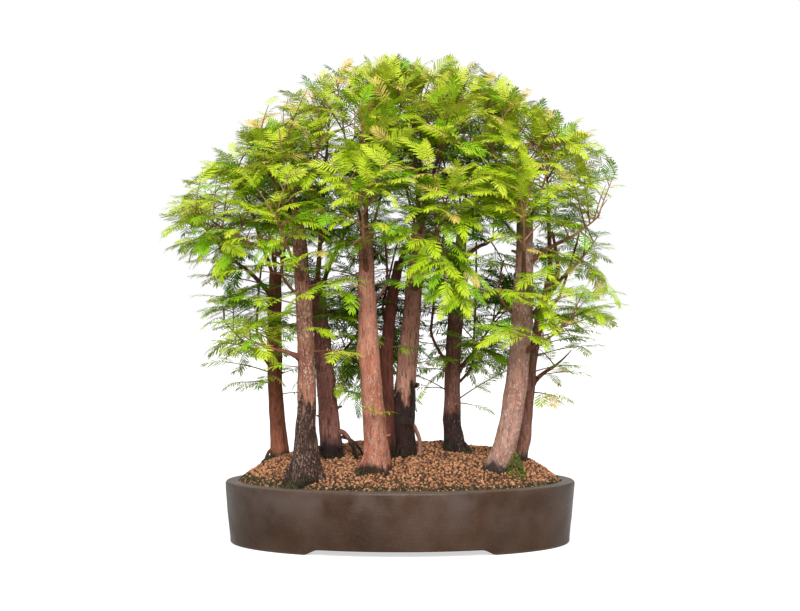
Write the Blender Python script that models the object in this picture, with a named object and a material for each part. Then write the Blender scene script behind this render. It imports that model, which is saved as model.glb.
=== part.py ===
"""A dawn redwood bonsai group: nine stems on a mound of soil in an oval pot, with their boughs and masses of foliage.

Metres, +Z up, front towards -Y. The pot's underside stands on Z = 0.
"""

import math
import random
from collections import namedtuple

import bmesh
import bpy
import numpy as np
from mathutils import Matrix, Vector

# Clearance between pieces that touch
GAP = 0.0003

# Pot, an oval tub on a low foot ring
POT_LENGTH = 0.500
POT_DEPTH = 0.366
POT_HEIGHT = 0.088
POT_SIDES = 40
LIP_WIDTH = 0.019
LIP_ROUND = 0.004
LIP_INNER_ROUND = 0.0015
WALL_TAPER = 0.0075
WALL_CURVE = ((0.55, 0.40), (0.18, 0.72))
BASE_ROUND = 0.003
FOOT_HEIGHT = 0.009
FOOT_WIDTH = 0.017
FLOOR_THICKNESS = 0.009
FLOOR_ROUND = 0.010
ARCH_WIDTH = 0.262
ARCH_SLOPE = 0.020
ARCH_HEIGHT = 0.0075
ARCH_STEPS = 4

# Soil, mounded towards the back, with low heaps
SOIL_BELOW_LIP = 0.002
SOIL_RINGS = (0.95, 0.86, 0.76, 0.66, 0.55, 0.44, 0.33, 0.22, 0.10)
MOUND_HEIGHT = 0.038
MOUND_TILT = 0.14
HEAP_HEIGHT = 0.0016
HEAP_SPACING = 0.040
FOOT_SINK = 0.004
POCKET_RINGS = 3

# Stems
STEM_SIDES = 10
STEM_RINGS = 10
FLARE_DECAY = 0.028
KICK_DECAY = 0.040
ROOT_LOBES = 4
ROOT_LOBE_DEPTH = 0.10
ROOT_LOBE_TURN = 40

# Aerial root
ROOT_TOP = 0.188
ROOT_ASIDE = 0.022
ROOT_BOW = 0.012
ROOT_UPRIGHT = 0.016
ROOT_THICKNESS = 0.0065
ROOT_SIDES = 6

# Boughs and twigs
BOUGH_SIDES = 5
BOUGH_THICKNESS = 0.0075
BOUGH_TIP = 0.0046
BOUGH_COLLAR = 1.25
BOUGH_ARCH = 0.12
BOUGH_STEPS = 5
TWIG_THICKNESS = 0.0042
TWIG_TIP = 0.0022
DOOR_DISTANCE = 0.060
DOOR_SHARE = 0.45

# Crown
CROWN_LENGTH = 0.704
CROWN_DEPTH = 0.500
CROWN_TOP = 0.700
CROWN_WAIST = 0.440
CROWN_FOOT = 0.155
CROWN_POWER = 2.05
MASS_REACH = 0.135
SPACE_MARGIN = 0.0012
LIMB_CLEARANCE = 0.0055
LIMB_STEP = 0.004
ROOM_STEP = 0.006
UP = Vector((0, 0, 1))
GOLDEN_ANGLE = math.pi * (3 - math.sqrt(5))

# Sprays of needles, each a toothed blade
SPRAY_LENGTH = 0.105
SPRAY_SLENDERNESS = 0.36
SPRAY_THICKNESS = 0.0026
SPRAY_TEETH = 3
FIRST_TOOTH = 0.10
TOOTH_WIDTHS = (1.0, 0.95, 0.62)
SPRAY_SINK = 0.004
SPRAY_DROOP = 0.12
SPRAY_TILT = 0.9
SPRAY_APART = 0.008
NOTCH_SHARE = 0.16
TOOTH_RAKE = 0.26
SHORTEST_SPRAY = 0.5
SHORTEST_TWIG = 0.012
BRANCH_SPACING = 0.0148
BRANCH_TRIES = 4
STEM_RISE = 0.25

# x, y is the foot; top is the height of the cut top; lean, bow and kick shift the line sideways: along all of it, at its
# middle and just over the foot; back leans it away from the front; then three widths, at the foot, waist and top
Stem = namedtuple("Stem", "name x y top lean bow kick back foot waist crown")
STEMS = {
    stem.name: stem
    for stem in (
        Stem("far_left", -0.174, 0.040, 0.385, -0.008, -0.005, 0.000, 0.015, 0.027, 0.0225, 0.018),
        Stem("front_left", -0.130, -0.100, 0.447, -0.008, 0.008, -0.003, -0.008, 0.058, 0.025, 0.018),
        Stem("inner_left", -0.096, -0.010, 0.372, -0.019, 0.003, -0.005, 0.012, 0.034, 0.029, 0.017),
        Stem("front_centre", -0.032, -0.090, 0.440, -0.021, -0.007, 0.007, -0.005, 0.042, 0.031, 0.018),
        Stem("inner_centre", -0.019, -0.020, 0.400, 0.006, -0.014, 0.012, 0.020, 0.023, 0.020, 0.014),
        Stem("centre", 0.007, 0.000, 0.456, 0.033, 0.003, -0.013, 0.005, 0.036, 0.030, 0.018),
        Stem("rear_right", 0.079, 0.030, 0.465, 0.020, -0.004, -0.006, 0.020, 0.034, 0.0235, 0.015),
        Stem("front_right", 0.133, -0.070, 0.460, 0.027, 0.008, 0.013, -0.006, 0.040, 0.0315, 0.022),
        Stem("inner_right", 0.171, 0.000, 0.385, 0.030, -0.016, 0.020, 0.020, 0.020, 0.016, 0.012),
    )
}

# Each mass of foliage: its place, the stem that bears it, its middle, and where its bough leaves the stem, as a height.
# A mass with no such height stands on its stem's cut top.
Mass = namedtuple("Mass", "place stem x y z leaves")
MASSES = (
    Mass("far_left_top", "far_left", -0.205, 0.075, 0.520, None),
    Mass("front_left_top", "front_left", -0.152, -0.100, 0.570, None),
    Mass("inner_left_top", "inner_left", -0.105, 0.060, 0.600, 0.360),
    Mass("front_centre_top", "front_centre", -0.045, -0.085, 0.605, None),
    Mass("centre_top", "centre", 0.030, 0.030, 0.630, None),
    Mass("centre_front_top", "centre", 0.065, -0.085, 0.590, 0.430),
    Mass("rear_right_top", "rear_right", 0.105, 0.105, 0.580, None),
    Mass("front_right_top", "front_right", 0.165, -0.065, 0.580, None),
    Mass("inner_right_top", "inner_right", 0.215, 0.055, 0.535, 0.375),
    Mass("far_left_side", "far_left", -0.280, 0.065, 0.440, 0.345),
    Mass("front_left_side", "front_left", -0.258, -0.080, 0.450, 0.385),
    Mass("front_left_front", "front_left", -0.160, -0.180, 0.440, 0.365),
    Mass("front_centre_front", "front_centre", -0.050, -0.185, 0.450, 0.375),
    Mass("centre_front", "centre", 0.055, -0.165, 0.450, 0.355),
    Mass("front_right_front", "front_right", 0.165, -0.175, 0.450, 0.365),
    Mass("front_right_side", "front_right", 0.270, -0.080, 0.455, 0.390),
    Mass("inner_right_side", "inner_right", 0.285, 0.060, 0.430, 0.340),
    Mass("rear_right_back", "rear_right", 0.155, 0.175, 0.450, 0.395),
    Mass("inner_centre_back", "inner_centre", 0.030, 0.180, 0.460, 0.385),
    Mass("inner_left_back", "inner_left", -0.080, 0.175, 0.460, 0.345),
    Mass("far_left_back", "far_left", -0.190, 0.170, 0.430, 0.330),
    Mass("far_left_low", "far_left", -0.240, 0.040, 0.295, 0.245),
    Mass("front_left_low", "front_left", -0.205, -0.125, 0.290, 0.260),
    Mass("inner_left_low", "inner_left", -0.065, 0.055, 0.290, 0.240),
    Mass("rear_right_low", "rear_right", 0.125, 0.070, 0.290, 0.225),
    Mass("front_right_low", "front_right", 0.215, -0.115, 0.300, 0.265),
    Mass("inner_right_low", "inner_right", 0.245, 0.050, 0.265, 0.220),
)


def clear_scene():
    for obj in list(bpy.data.objects):
        bpy.data.objects.remove(obj, do_unlink=True)


def material(name, colour, roughness, metallic=0.0):
    made = bpy.data.materials.new(name)
    made.use_nodes = True
    shader = made.node_tree.nodes["Principled BSDF"]
    shader.inputs["Base Color"].default_value = (*colour, 1)
    shader.inputs["Roughness"].default_value = roughness
    shader.inputs["Metallic"].default_value = metallic
    return made


def new_object(name, vertices, faces, finish=None):
    mesh = bpy.data.meshes.new(name)
    mesh.from_pydata([tuple(v) for v in vertices], [], faces)
    shape = bmesh.new()
    shape.from_mesh(mesh)
    bmesh.ops.recalc_face_normals(shape, faces=shape.faces)
    shape.to_mesh(mesh)
    shape.free()
    obj = bpy.data.objects.new(name, mesh)
    bpy.context.scene.collection.objects.link(obj)
    if finish:
        mesh.materials.append(finish)
    return obj


def loft(name, rings, finish=None):
    """A closed solid through rings of equally many points, with a flat end on the first and the last ring."""
    sides = len(rings[0])
    vertices = [point for ring in rings for point in ring]
    faces = []
    for level in range(len(rings) - 1):
        for side in range(sides):
            a = level * sides + side
            b = level * sides + (side + 1) % sides
            faces.append((a, b, b + sides))
            faces.append((a, b + sides, a + sides))
    faces.append(tuple(range(sides)))
    faces.append(tuple(range(len(vertices) - sides, len(vertices))))
    return new_object(name, vertices, faces, finish)


def settle(obj, modifier):
    """Puts a modifier's result into the object's mesh."""
    graph = bpy.context.evaluated_depsgraph_get()
    finished = bpy.data.meshes.new_from_object(obj.evaluated_get(graph))
    obj.modifiers.remove(modifier)
    old = obj.data
    obj.data = finished
    bpy.data.meshes.remove(old)


def cut(obj, cutter):
    """Takes the cutter's shape out of the object, and removes the cutter."""
    cutter.hide_render = True
    cutter.display_type = "WIRE"
    away = obj.modifiers.new("cut", "BOOLEAN")
    away.operation = "DIFFERENCE"
    away.object = cutter
    settle(obj, away)
    bpy.data.objects.remove(cutter, do_unlink=True)


def keep_main_body(obj):
    """Drops loose scraps and sealed hollows, keeping the body with the most faces."""
    shape = bmesh.new()
    shape.from_mesh(obj.data)
    unseen = set(shape.verts)
    bodies = []
    while unseen:
        body = {unseen.pop()}
        edge = list(body)
        while edge:
            for link in edge.pop().link_edges:
                for vertex in link.verts:
                    if vertex in unseen:
                        unseen.remove(vertex)
                        body.add(vertex)
                        edge.append(vertex)
        bodies.append(body)
    main = max(bodies, key=len)
    bmesh.ops.delete(shape, geom=[v for v in shape.verts if v not in main], context="VERTS")
    shape.to_mesh(obj.data)
    shape.free()


def oval(inset, height, sides=POT_SIDES):
    """A ring of the pot's plan, drawn in from its rim."""
    turn = 2 * math.pi / sides
    return [
        Vector(
            (
                (POT_LENGTH / 2 - inset) * math.cos(turn * i),
                (POT_DEPTH / 2 - inset) * math.sin(turn * i),
                height,
            )
        )
        for i in range(sides)
    ]


def inner_wall():
    """The inside of the pot from lip to floor, as (inset, height)."""
    floor = FOOT_HEIGHT + FLOOR_THICKNESS
    return (
        (LIP_WIDTH - LIP_INNER_ROUND, POT_HEIGHT),
        (LIP_WIDTH, POT_HEIGHT - LIP_INNER_ROUND),
        (LIP_WIDTH + 0.2 * FLOOR_ROUND, floor + FLOOR_ROUND),
        (LIP_WIDTH + FLOOR_ROUND, floor),
    )


def make_pot(finish):
    foot_inset = WALL_TAPER + FOOT_WIDTH
    rings = [
        (foot_inset + GAP, FOOT_HEIGHT),
        (foot_inset, 0.0),
        (WALL_TAPER + BASE_ROUND, 0.0),
        (WALL_TAPER, BASE_ROUND),
        *((inset * WALL_TAPER, height * POT_HEIGHT) for inset, height in WALL_CURVE),
        (0.0, POT_HEIGHT - LIP_ROUND),
        (0.3 * LIP_ROUND, POT_HEIGHT - 0.3 * LIP_ROUND),
        (LIP_ROUND, POT_HEIGHT),
        *inner_wall(),
    ]
    pot = loft("pot", [oval(inset, height) for inset, height in rings], finish)
    cut(pot, foot_arch())
    return pot


def foot_arch():
    """The cutter for the long arch in the foot ring, front and back, with an S-shaped end on each side."""
    side = []
    for i in range(ARCH_STEPS + 1):
        t = i / ARCH_STEPS
        side.append((ARCH_WIDTH / 2 - ARCH_SLOPE * t, ARCH_HEIGHT * t * t * (3 - 2 * t)))
    outline = [(ARCH_WIDTH / 2, -ARCH_HEIGHT), *side]
    outline += [(-x, z) for x, z in reversed(outline)]
    return loft("arch", [[Vector((x, y, z)) for x, z in outline] for y in (-POT_DEPTH, POT_DEPTH)])


def soil_height(x, y):
    inset = LIP_WIDTH + GAP
    across = math.hypot(x / (POT_LENGTH / 2 - inset), y / (POT_DEPTH / 2 - inset))
    heap = math.sin(math.pi * x / HEAP_SPACING) * math.cos(math.pi * (y + x / 3) / HEAP_SPACING)
    mound = MOUND_HEIGHT + MOUND_TILT * y + HEAP_HEIGHT * heap
    return POT_HEIGHT - SOIL_BELOW_LIP + max(0, 1 - across**6) * mound


def make_soil(finish):
    floor_inset, floor = inner_wall()[-1]
    knee_inset, knee = inner_wall()[-2]
    edge = oval(LIP_WIDTH + 2 * GAP, POT_HEIGHT - SOIL_BELOW_LIP)
    rings = [oval(floor_inset + GAP, floor + GAP), oval(knee_inset + 2 * GAP, knee + GAP), edge]
    for share in SOIL_RINGS:
        ring = []
        for point in edge:
            x = point.x * share
            y = point.y * share
            ring.append(Vector((x, y, soil_height(x, y))))
        rings.append(ring)
    soil = loft("soil", rings, finish)
    for stem in STEMS.values():
        pocket = [stem_ring(stem, height, 2 * GAP) for height in stem_heights(stem)[:POCKET_RINGS]]
        for point in pocket[0]:
            point.z -= GAP
        cut(soil, loft("pocket", pocket))
    hole = [point.copy() for point in aerial_root_line()[-2:]]
    hole[-1].z -= GAP
    cut(soil, tube("pocket", hole, [ROOT_THICKNESS / 2 + 2 * GAP] * 2, ROOT_SIDES))
    return soil


def foot_height(stem):
    """The height of a stem's flat cut, just under the soil."""
    return soil_height(stem.x, stem.y) - FOOT_SINK


def stem_line(stem, height):
    """The middle of a stem at a height over its foot."""
    t = height / (stem.top - foot_height(stem))
    hook = 1 - math.exp(-height / KICK_DECAY)
    x = stem.x + stem.lean * t + stem.bow * 4 * t * (1 - t) + stem.kick * hook
    return Vector((x, stem.y + stem.back * t, foot_height(stem) + height))


def stem_radius(stem, height):
    t = height / (stem.top - foot_height(stem))
    flare = (stem.foot - stem.waist) * math.exp(-height / FLARE_DECAY)
    return (stem.waist + (stem.crown - stem.waist) * t * t + flare) / 2


def stem_ring(stem, height, extra=0.0):
    """A level ring of a stem, lobed by its roots near the ground."""
    middle = stem_line(stem, height)
    lobes = ROOT_LOBE_DEPTH * math.exp(-height / FLARE_DECAY)
    ring = []
    for i in range(STEM_SIDES):
        angle = 2 * math.pi * i / STEM_SIDES
        lobe = lobes * math.cos(ROOT_LOBES * angle + ROOT_LOBE_TURN * stem.x)
        radius = stem_radius(stem, height) * (1 + lobe) + extra
        ring.append(middle + radius * Vector((math.cos(angle), math.sin(angle), 0)))
    return ring


def stem_heights(stem):
    """The heights of a stem's rings over its foot, closer together near the ground."""
    tall = stem.top - foot_height(stem)
    return [tall * (i / (STEM_RINGS - 1)) ** 1.5 for i in range(STEM_RINGS)]


def stem_solid(name, stem, finish=None, extra=0.0):
    rings = [stem_ring(stem, height, extra) for height in stem_heights(stem)]
    for point in rings[-1]:
        point.z += extra
    return loft(name, rings, finish)


def aerial_root_line():
    """The aerial root beside the centre stem, bowed out from it and then straight down into the soil."""
    stem = STEMS["centre"]
    start = stem_line(stem, ROOT_TOP - foot_height(stem))
    x = stem.x + ROOT_ASIDE
    foot = Vector((x, stem.y, soil_height(x, stem.y) - FOOT_SINK))
    bowed = start.lerp(foot, 0.45) + Vector((ROOT_BOW, -ROOT_BOW / 3, 0))
    upright = foot + UP * ROOT_UPRIGHT
    return [*bend(start, bowed, upright, 4), foot]


def bend(start, middle, end, steps):
    """Points along a curve from start to end, drawn towards the middle."""
    line = []
    for i in range(steps + 1):
        t = i / steps
        line.append((1 - t) ** 2 * start + 2 * t * (1 - t) * middle + t * t * end)
    return line


def tube(name, line, radii, sides, finish=None):
    """A solid round limb along a line of points."""
    rings = []
    across = None
    for i, point in enumerate(line):
        along = (line[min(i + 1, len(line) - 1)] - line[max(i - 1, 0)]).normalized()
        across = (across - across.dot(along) * along).normalized() if across else along.orthogonal().normalized()
        beside = along.cross(across)
        ring = []
        for side in range(sides):
            angle = 2 * math.pi * side / sides
            ring.append(point + radii[i] * (math.cos(angle) * across + math.sin(angle) * beside))
        rings.append(ring)
    return loft(name, rings, finish)


def taper(thick, thin, count):
    return [(thick + (thin - thick) * i / (count - 1)) / 2 for i in range(count)]


def middle_of(mass):
    return Vector((mass.x, mass.y, mass.z))


def bough_line(mass):
    """A bough from inside its stem, rising and then reaching out to the door of its mass."""
    stem = STEMS[mass.stem]
    start = stem_line(stem, mass.leaves - foot_height(stem))
    middle = middle_of(mass)
    way = middle - start
    door = middle - way.normalized() * min(DOOR_DISTANCE, DOOR_SHARE * way.length)
    elbow = start.lerp(door, 0.55) + UP * BOUGH_ARCH * (door - start).length
    return bend(start, elbow, door, BOUGH_STEPS)


def make_bough(mass, finish):
    line = bough_line(mass)
    radii = taper(BOUGH_THICKNESS, BOUGH_TIP, len(line))
    radii[0] *= BOUGH_COLLAR
    bough = tube("bough_" + mass.place, line, radii, BOUGH_SIDES, finish)
    cut(bough, stem_solid("clearance", STEMS[mass.stem], extra=GAP))
    keep_main_body(bough)
    return bough


class Space:
    """The space that each mass of foliage keeps to: nearer its own middle than any other, in reach of it, inside the
    crown's outline, and clear of every limb."""

    def __init__(self):
        self.middles = np.array([middle_of(mass) for mass in MASSES])
        places = []
        radii = []
        for stem in STEMS.values():
            tall = stem.top - foot_height(stem)
            for height in np.arange(0, tall, LIMB_STEP):
                places.append(stem_line(stem, height))
                radii.append(stem_radius(stem, height))
        for mass in MASSES:
            if mass.leaves:
                line = bough_line(mass)
                for a, b in zip(line, line[1:]):
                    for t in np.arange(0, 1, LIMB_STEP / (b - a).length):
                        places.append(a.lerp(b, t))
                        radii.append(BOUGH_THICKNESS / 2)
        self.limbs = np.array(places)
        self.radii = np.array(radii)

    def holds(self, index, points):
        """Whether all the points are in the space of this mass."""
        points = np.array(points)
        own = self.middles[index]
        if (np.linalg.norm(points - own, axis=1) > MASS_REACH).any():
            return False
        others = np.delete(self.middles, index, axis=0)
        between = others - own
        wide = np.linalg.norm(between, axis=1)
        depth = ((others + own) / 2 @ (between / wide[:, None]).T).diagonal() - points @ (between / wide[:, None]).T
        if (depth < SPACE_MARGIN).any():
            return False
        if not in_crown(points).all():
            return False
        away = np.linalg.norm(points[:, None] - self.limbs[None], axis=2) - self.radii
        return bool((away > LIMB_CLEARANCE).all())

    def room(self, index, start, direction, most):
        """How far a thin twig can run from here."""
        reached = 0.0
        while reached < most and self.holds(index, [start + direction * (reached + ROOM_STEP)]):
            reached += ROOM_STEP
        return reached


def in_crown(points):
    """Whether each point is inside the crown's outline, a dome that is full at the waist."""
    sideways = np.hypot(points[:, 0] / (CROWN_LENGTH / 2), points[:, 1] / (CROWN_DEPTH / 2))
    over = points[:, 2] - CROWN_WAIST
    tall = np.where(over > 0, CROWN_TOP - CROWN_WAIST, CROWN_WAIST - CROWN_FOOT)
    return sideways**CROWN_POWER + np.abs(over / tall) ** CROWN_POWER < 1


def spray(start, direction, flat, length):
    """The corners and faces of a spray that starts at a twig: a ridged blade with long teeth on both sides of its rib.

    The root is corner 0 and the tip corner 1. Each tooth adds a ridge above and below and, on either side, a notch and
    the tooth's point.
    """
    beside = flat.cross(direction).normalized()
    over = direction.cross(beside).normalized()

    def place(x, y, z):
        droop = SPRAY_DROOP * x * x / length
        return start + x * direction + y * beside + (z - droop) * over

    corners = [place(-SPRAY_SINK, 0, 0), place(length, 0, 0)]
    for tooth in range(SPRAY_TEETH):
        t = FIRST_TOOTH + (1 - 2 * FIRST_TOOTH) * tooth / SPRAY_TEETH
        full = SPRAY_SLENDERNESS * length * TOOTH_WIDTHS[tooth]
        thick = SPRAY_THICKNESS / 2
        corners += [place(t * length, 0, thick), place(t * length, 0, -thick)]
        for y in (full, -full):
            corners += [place(t * length, NOTCH_SHARE * y, 0), place((t + TOOTH_RAKE) * length, y, 0)]
    faces = []
    for face in (0, 1):
        for side in (2, 4):
            ridges = [2 + 6 * tooth + face for tooth in range(SPRAY_TEETH)]
            notches = [2 + 6 * tooth + side for tooth in range(SPRAY_TEETH)]
            strip = [(0, ridges[0], notches[0])]
            for tooth in range(SPRAY_TEETH):
                point = notches[tooth] + 1
                strip.append((notches[tooth], ridges[tooth], point))
                if tooth + 1 < SPRAY_TEETH:
                    strip.append((point, ridges[tooth], notches[tooth + 1]))
                    strip.append((notches[tooth + 1], ridges[tooth], ridges[tooth + 1]))
                else:
                    strip.append((point, ridges[tooth], 1))
            faces += strip
    return corners, faces


class Growth:
    """One mass of foliage, grown from a stem by a rule with a fixed seed."""

    def __init__(self, space, index):
        self.space = space
        self.index = index
        self.mass = MASSES[index]
        self.draw = random.Random(self.mass.place)
        self.parts = []
        self.placed = np.empty((0, 3))

    def add_spray(self, start, direction, longest):
        """Adds a spray as long as its space and its neighbours allow, or none."""
        direction = direction.normalized()
        for share in (1.0, 0.92, 0.84, 0.76, 0.68, 0.6, SHORTEST_SPRAY):
            length = longest * share
            flat = (UP + SPRAY_TILT * Vector([self.draw.uniform(-1, 1) for _ in range(3)])).normalized()
            corners, faces = spray(start, direction, flat, length)
            points = corners[1:2] + [corners[2 + 6 * tooth + k] for tooth in range(SPRAY_TEETH) for k in (3, 5)]
            rib = [start + direction * length * step / 10 for step in range(1, 10)]
            beside = (points[1] - points[2]) / 4
            tested = points + rib + [point + sign * beside for point in rib for sign in (-1, 1)]
            if self.space.holds(self.index, tested) and self.is_apart(tested, start):
                self.parts.append(new_object("spray", corners, faces))
                self.placed = np.vstack([self.placed, np.array(tested)])
                return True
        return False

    def is_apart(self, points, start):
        """Whether these points keep clear of the sprays that are already there."""
        if not len(self.placed):
            return True
        points = np.array([p for p in points if (p - start).length > SPRAY_APART])
        between = np.linalg.norm(points[:, None] - self.placed[None], axis=2)
        return bool((between > SPRAY_APART).all())

    def grow(self):
        """Puts up the stem, then twigs round it by the golden angle, each with a spray at its tip."""
        start, heading = self.root()
        middle = middle_of(self.mass)
        onward = ((middle - start).normalized() + STEM_RISE * UP).normalized()
        ahead = self.space.room(self.index, middle, onward, MASS_REACH) - 0.6 * SPRAY_LENGTH
        tip = middle + onward * max(0.010, ahead)
        elbow = middle - onward * 0.3 * (middle - start).length
        stem = [start, start + heading * 0.006] + bend(start + heading * 0.006, elbow, tip, 3)[1:]
        self.parts.append(tube("stem", stem, taper(BOUGH_TIP, TWIG_TIP, 5), 3))
        self.add_spray(tip - onward * 0.004, onward, SPRAY_LENGTH)
        long = (tip - stem[1]).length
        count = max(4, round(long / BRANCH_SPACING))
        for i in range(count):
            t = 1 - (i + 0.6) / (count + 0.4)
            for attempt in range(BRANCH_TRIES):
                if self.branch(stem, t, i * GOLDEN_ANGLE + attempt * math.tau / BRANCH_TRIES):
                    break
        return self.parts

    def branch(self, stem, t, azimuth):
        """One twig with its spray, or a spray alone where there is little room, at a share t of the stem."""
        stretch = min(2, int(3 * t)) + 1
        base = stem[stretch].lerp(stem[stretch + 1], 3 * t - stretch + 1)
        along = (stem[4] - stem[1]).normalized()
        turn = Matrix.Rotation(azimuth + self.draw.uniform(-0.3, 0.3), 3, along)
        spread = math.radians(80 - 35 * t)
        side = turn @ along.orthogonal().normalized()
        direction = (math.cos(spread) * along + math.sin(spread) * side + 0.15 * UP).normalized()
        free = self.space.room(self.index, base, direction, MASS_REACH)
        reach = free - SPRAY_LENGTH
        if free < SHORTEST_SPRAY * SPRAY_LENGTH:
            return False
        if reach < SHORTEST_TWIG:
            return self.add_spray(base, direction, min(SPRAY_LENGTH, 1.05 * free))
        end = base + direction * reach
        grown = self.add_spray(end - direction * 0.003, direction, SPRAY_LENGTH)
        if grown:
            self.parts.append(tube("twig", [base, end], taper(TWIG_THICKNESS, TWIG_TIP, 2), 3))
        return grown

    def root(self):
        """Where the mass's stem starts, and which way it sets off."""
        if self.mass.leaves:
            line = bough_line(self.mass)
            heading = (line[-1] - line[-2]).normalized()
            return line[-1] + heading * GAP, heading
        stem = STEMS[self.mass.stem]
        return stem_line(stem, stem.top - foot_height(stem)) + UP * GAP, UP.copy()


def make_mass(space, index, finish):
    """Joins a mass's stem, twigs and sprays into one solid."""
    parts = Growth(space, index).grow()
    group = bpy.data.collections.new("parts")
    bpy.context.scene.collection.children.link(group)
    main = parts[0]
    for part in parts[1:]:
        bpy.context.scene.collection.objects.unlink(part)
        group.objects.link(part)
    join = main.modifiers.new("join", "BOOLEAN")
    join.operation = "UNION"
    join.solver = "MANIFOLD"
    join.operand_type = "COLLECTION"
    join.collection = group
    settle(main, join)
    for part in parts[1:]:
        bpy.data.objects.remove(part, do_unlink=True)
    bpy.data.collections.remove(group)
    keep_main_body(main)
    main.name = "foliage_" + MASSES[index].place
    main.data.materials.clear()
    main.data.materials.append(finish)
    return main


def make_group():
    clear_scene()
    bark = material("bark", (0.30, 0.15, 0.09), 0.85)
    leaf = material("needles", (0.30, 0.48, 0.04), 0.55)
    pieces = [
        make_pot(material("stoneware", (0.10, 0.065, 0.045), 0.45)),
        make_soil(material("soil grains", (0.33, 0.14, 0.05), 0.95)),
    ]
    pieces += [stem_solid("trunk_" + stem.name, stem, bark) for stem in STEMS.values()]
    line = aerial_root_line()
    root = tube("aerial_root", line, taper(0.8 * ROOT_THICKNESS, ROOT_THICKNESS, len(line)), ROOT_SIDES, bark)
    cut(root, stem_solid("clearance", STEMS["centre"], extra=GAP))
    keep_main_body(root)
    pieces.append(root)
    space = Space()
    for index, mass in enumerate(MASSES):
        if mass.leaves:
            pieces.append(make_bough(mass, bark))
        pieces.append(make_mass(space, index, leaf))
    stand = bpy.data.objects.new("bonsai_group", None)
    bpy.context.scene.collection.objects.link(stand)
    corners = np.array([vertex.co for piece in pieces for vertex in piece.data.vertices])
    middle = (corners.min(axis=0) + corners.max(axis=0)) / 2
    stand.location = (-middle[0], -middle[1], 0)
    for piece in pieces:
        piece.parent = stand


make_group()
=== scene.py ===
"""The looks of a dawn redwood bonsai group: nine trunks on a mound of clay grains in an oval stoneware pot.

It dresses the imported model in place. Metres, +Z up, front towards -Y.
"""

import math
import random
from collections import namedtuple

import bmesh
import bpy
import numpy as np
from mathutils import Matrix, Vector, noise


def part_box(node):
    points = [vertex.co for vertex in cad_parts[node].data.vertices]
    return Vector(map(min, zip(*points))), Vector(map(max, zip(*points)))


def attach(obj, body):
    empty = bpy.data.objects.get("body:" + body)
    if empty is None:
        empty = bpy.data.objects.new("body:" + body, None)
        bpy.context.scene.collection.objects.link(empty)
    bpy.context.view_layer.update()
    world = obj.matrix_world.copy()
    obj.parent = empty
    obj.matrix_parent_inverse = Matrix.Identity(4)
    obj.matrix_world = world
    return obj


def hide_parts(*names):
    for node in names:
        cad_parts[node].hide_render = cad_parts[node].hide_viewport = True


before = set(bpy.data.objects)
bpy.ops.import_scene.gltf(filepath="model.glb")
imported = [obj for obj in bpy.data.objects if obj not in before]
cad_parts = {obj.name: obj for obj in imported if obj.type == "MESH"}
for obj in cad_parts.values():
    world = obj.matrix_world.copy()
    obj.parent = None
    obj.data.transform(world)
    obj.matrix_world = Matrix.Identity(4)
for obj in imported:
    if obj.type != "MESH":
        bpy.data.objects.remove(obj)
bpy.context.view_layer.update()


# The pot: an oval tub of brown unglazed stoneware, pressed in a mould, with a flat lip and a softly bellied
# wall. It stands on a low foot ring, cut away in a long arch at the front and at the back so that water can
# drain off.
pot_low, pot_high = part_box("pot")
POT_MIDDLE = Vector(((pot_low.x + pot_high.x) / 2, (pot_low.y + pot_high.y) / 2, 0))
POT_LENGTH = pot_high.x - pot_low.x
POT_DEPTH = pot_high.y - pot_low.y
POT_HEIGHT = pot_high.z
POT_SIDES = 320
LIP_WIDTH = 0.019
LIP_ROUND = 0.0042
LIP_INNER_ROUND = 0.0018
WALL_TAPER = 0.0075
WALL_BELLY = 1.25
WALL_RINGS = 18
BASE_ROUND = 0.003
FOOT_HEIGHT = 0.009
FOOT_WIDTH = 0.017
FOOT_ROUND = 0.0015
FLOOR_THICKNESS = 0.009
FLOOR_ROUND = 0.010
ARCH_WIDTH = 0.262
ARCH_SLOPE = 0.020
ARCH_HEIGHT = 0.0075
HAND_UNEVENNESS = 0.0005
FOOT_STEPS = 8


def new_piece(name, vertices, faces, finish):
    """A smooth piece in the frame, from points that are measured from the middle of the pot's underside."""
    mesh = bpy.data.meshes.new(name)
    points = np.array(vertices, float).reshape(-1, 3) + np.array(POT_MIDDLE)
    mesh.from_pydata(points.tolist(), [], faces)
    mesh.materials.append(finish)
    mesh.polygons.foreach_set("use_smooth", [True] * len(mesh.polygons))
    obj = bpy.data.objects.new(name, mesh)
    bpy.context.scene.collection.objects.link(obj)
    return obj


def ring_faces(rings, sides, first=0):
    """Quads between rings of equally many points that follow one another from the vertex first."""
    faces = []
    for level in range(rings - 1):
        for side in range(sides):
            a = first + level * sides + side
            b = first + level * sides + (side + 1) % sides
            faces.append((a, b, b + sides, a + sides))
    return faces


def close_ends(vertices, faces, sides, low, high):
    """Closes a tube of rings by a fan on its first ring and one on its last, each round its own middle."""
    middle = len(vertices)
    last = middle - sides
    for side in range(sides):
        after = (side + 1) % sides
        faces.append((after, side, middle))
        faces.append((last + side, last + after, middle + 1))
    vertices += [low, high]


def arc(centre, radius, start, end, steps=6):
    """Points of a round corner in a profile, between two angles in degrees."""
    points = []
    for i in range(steps + 1):
        angle = math.radians(start + (end - start) * i / steps)
        points.append((centre[0] + radius * math.cos(angle), centre[1] + radius * math.sin(angle)))
    return points


def wire(tree, kind, inputs=None, **settings):
    """Adds a node, sets its settings, and links or sets its inputs by name or number."""
    node = tree.nodes.new(kind)
    for label, value in settings.items():
        setattr(node, label, value)
    for label, value in (inputs or {}).items():
        if isinstance(value, bpy.types.NodeSocket):
            tree.links.new(value, node.inputs[label])
        else:
            node.inputs[label].default_value = value
    return node


def maths(tree, operation, first, second):
    """A sum, product or other result of two numbers."""
    return wire(tree, "ShaderNodeMath", {0: first, 1: second}, operation=operation).outputs[0]


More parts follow.
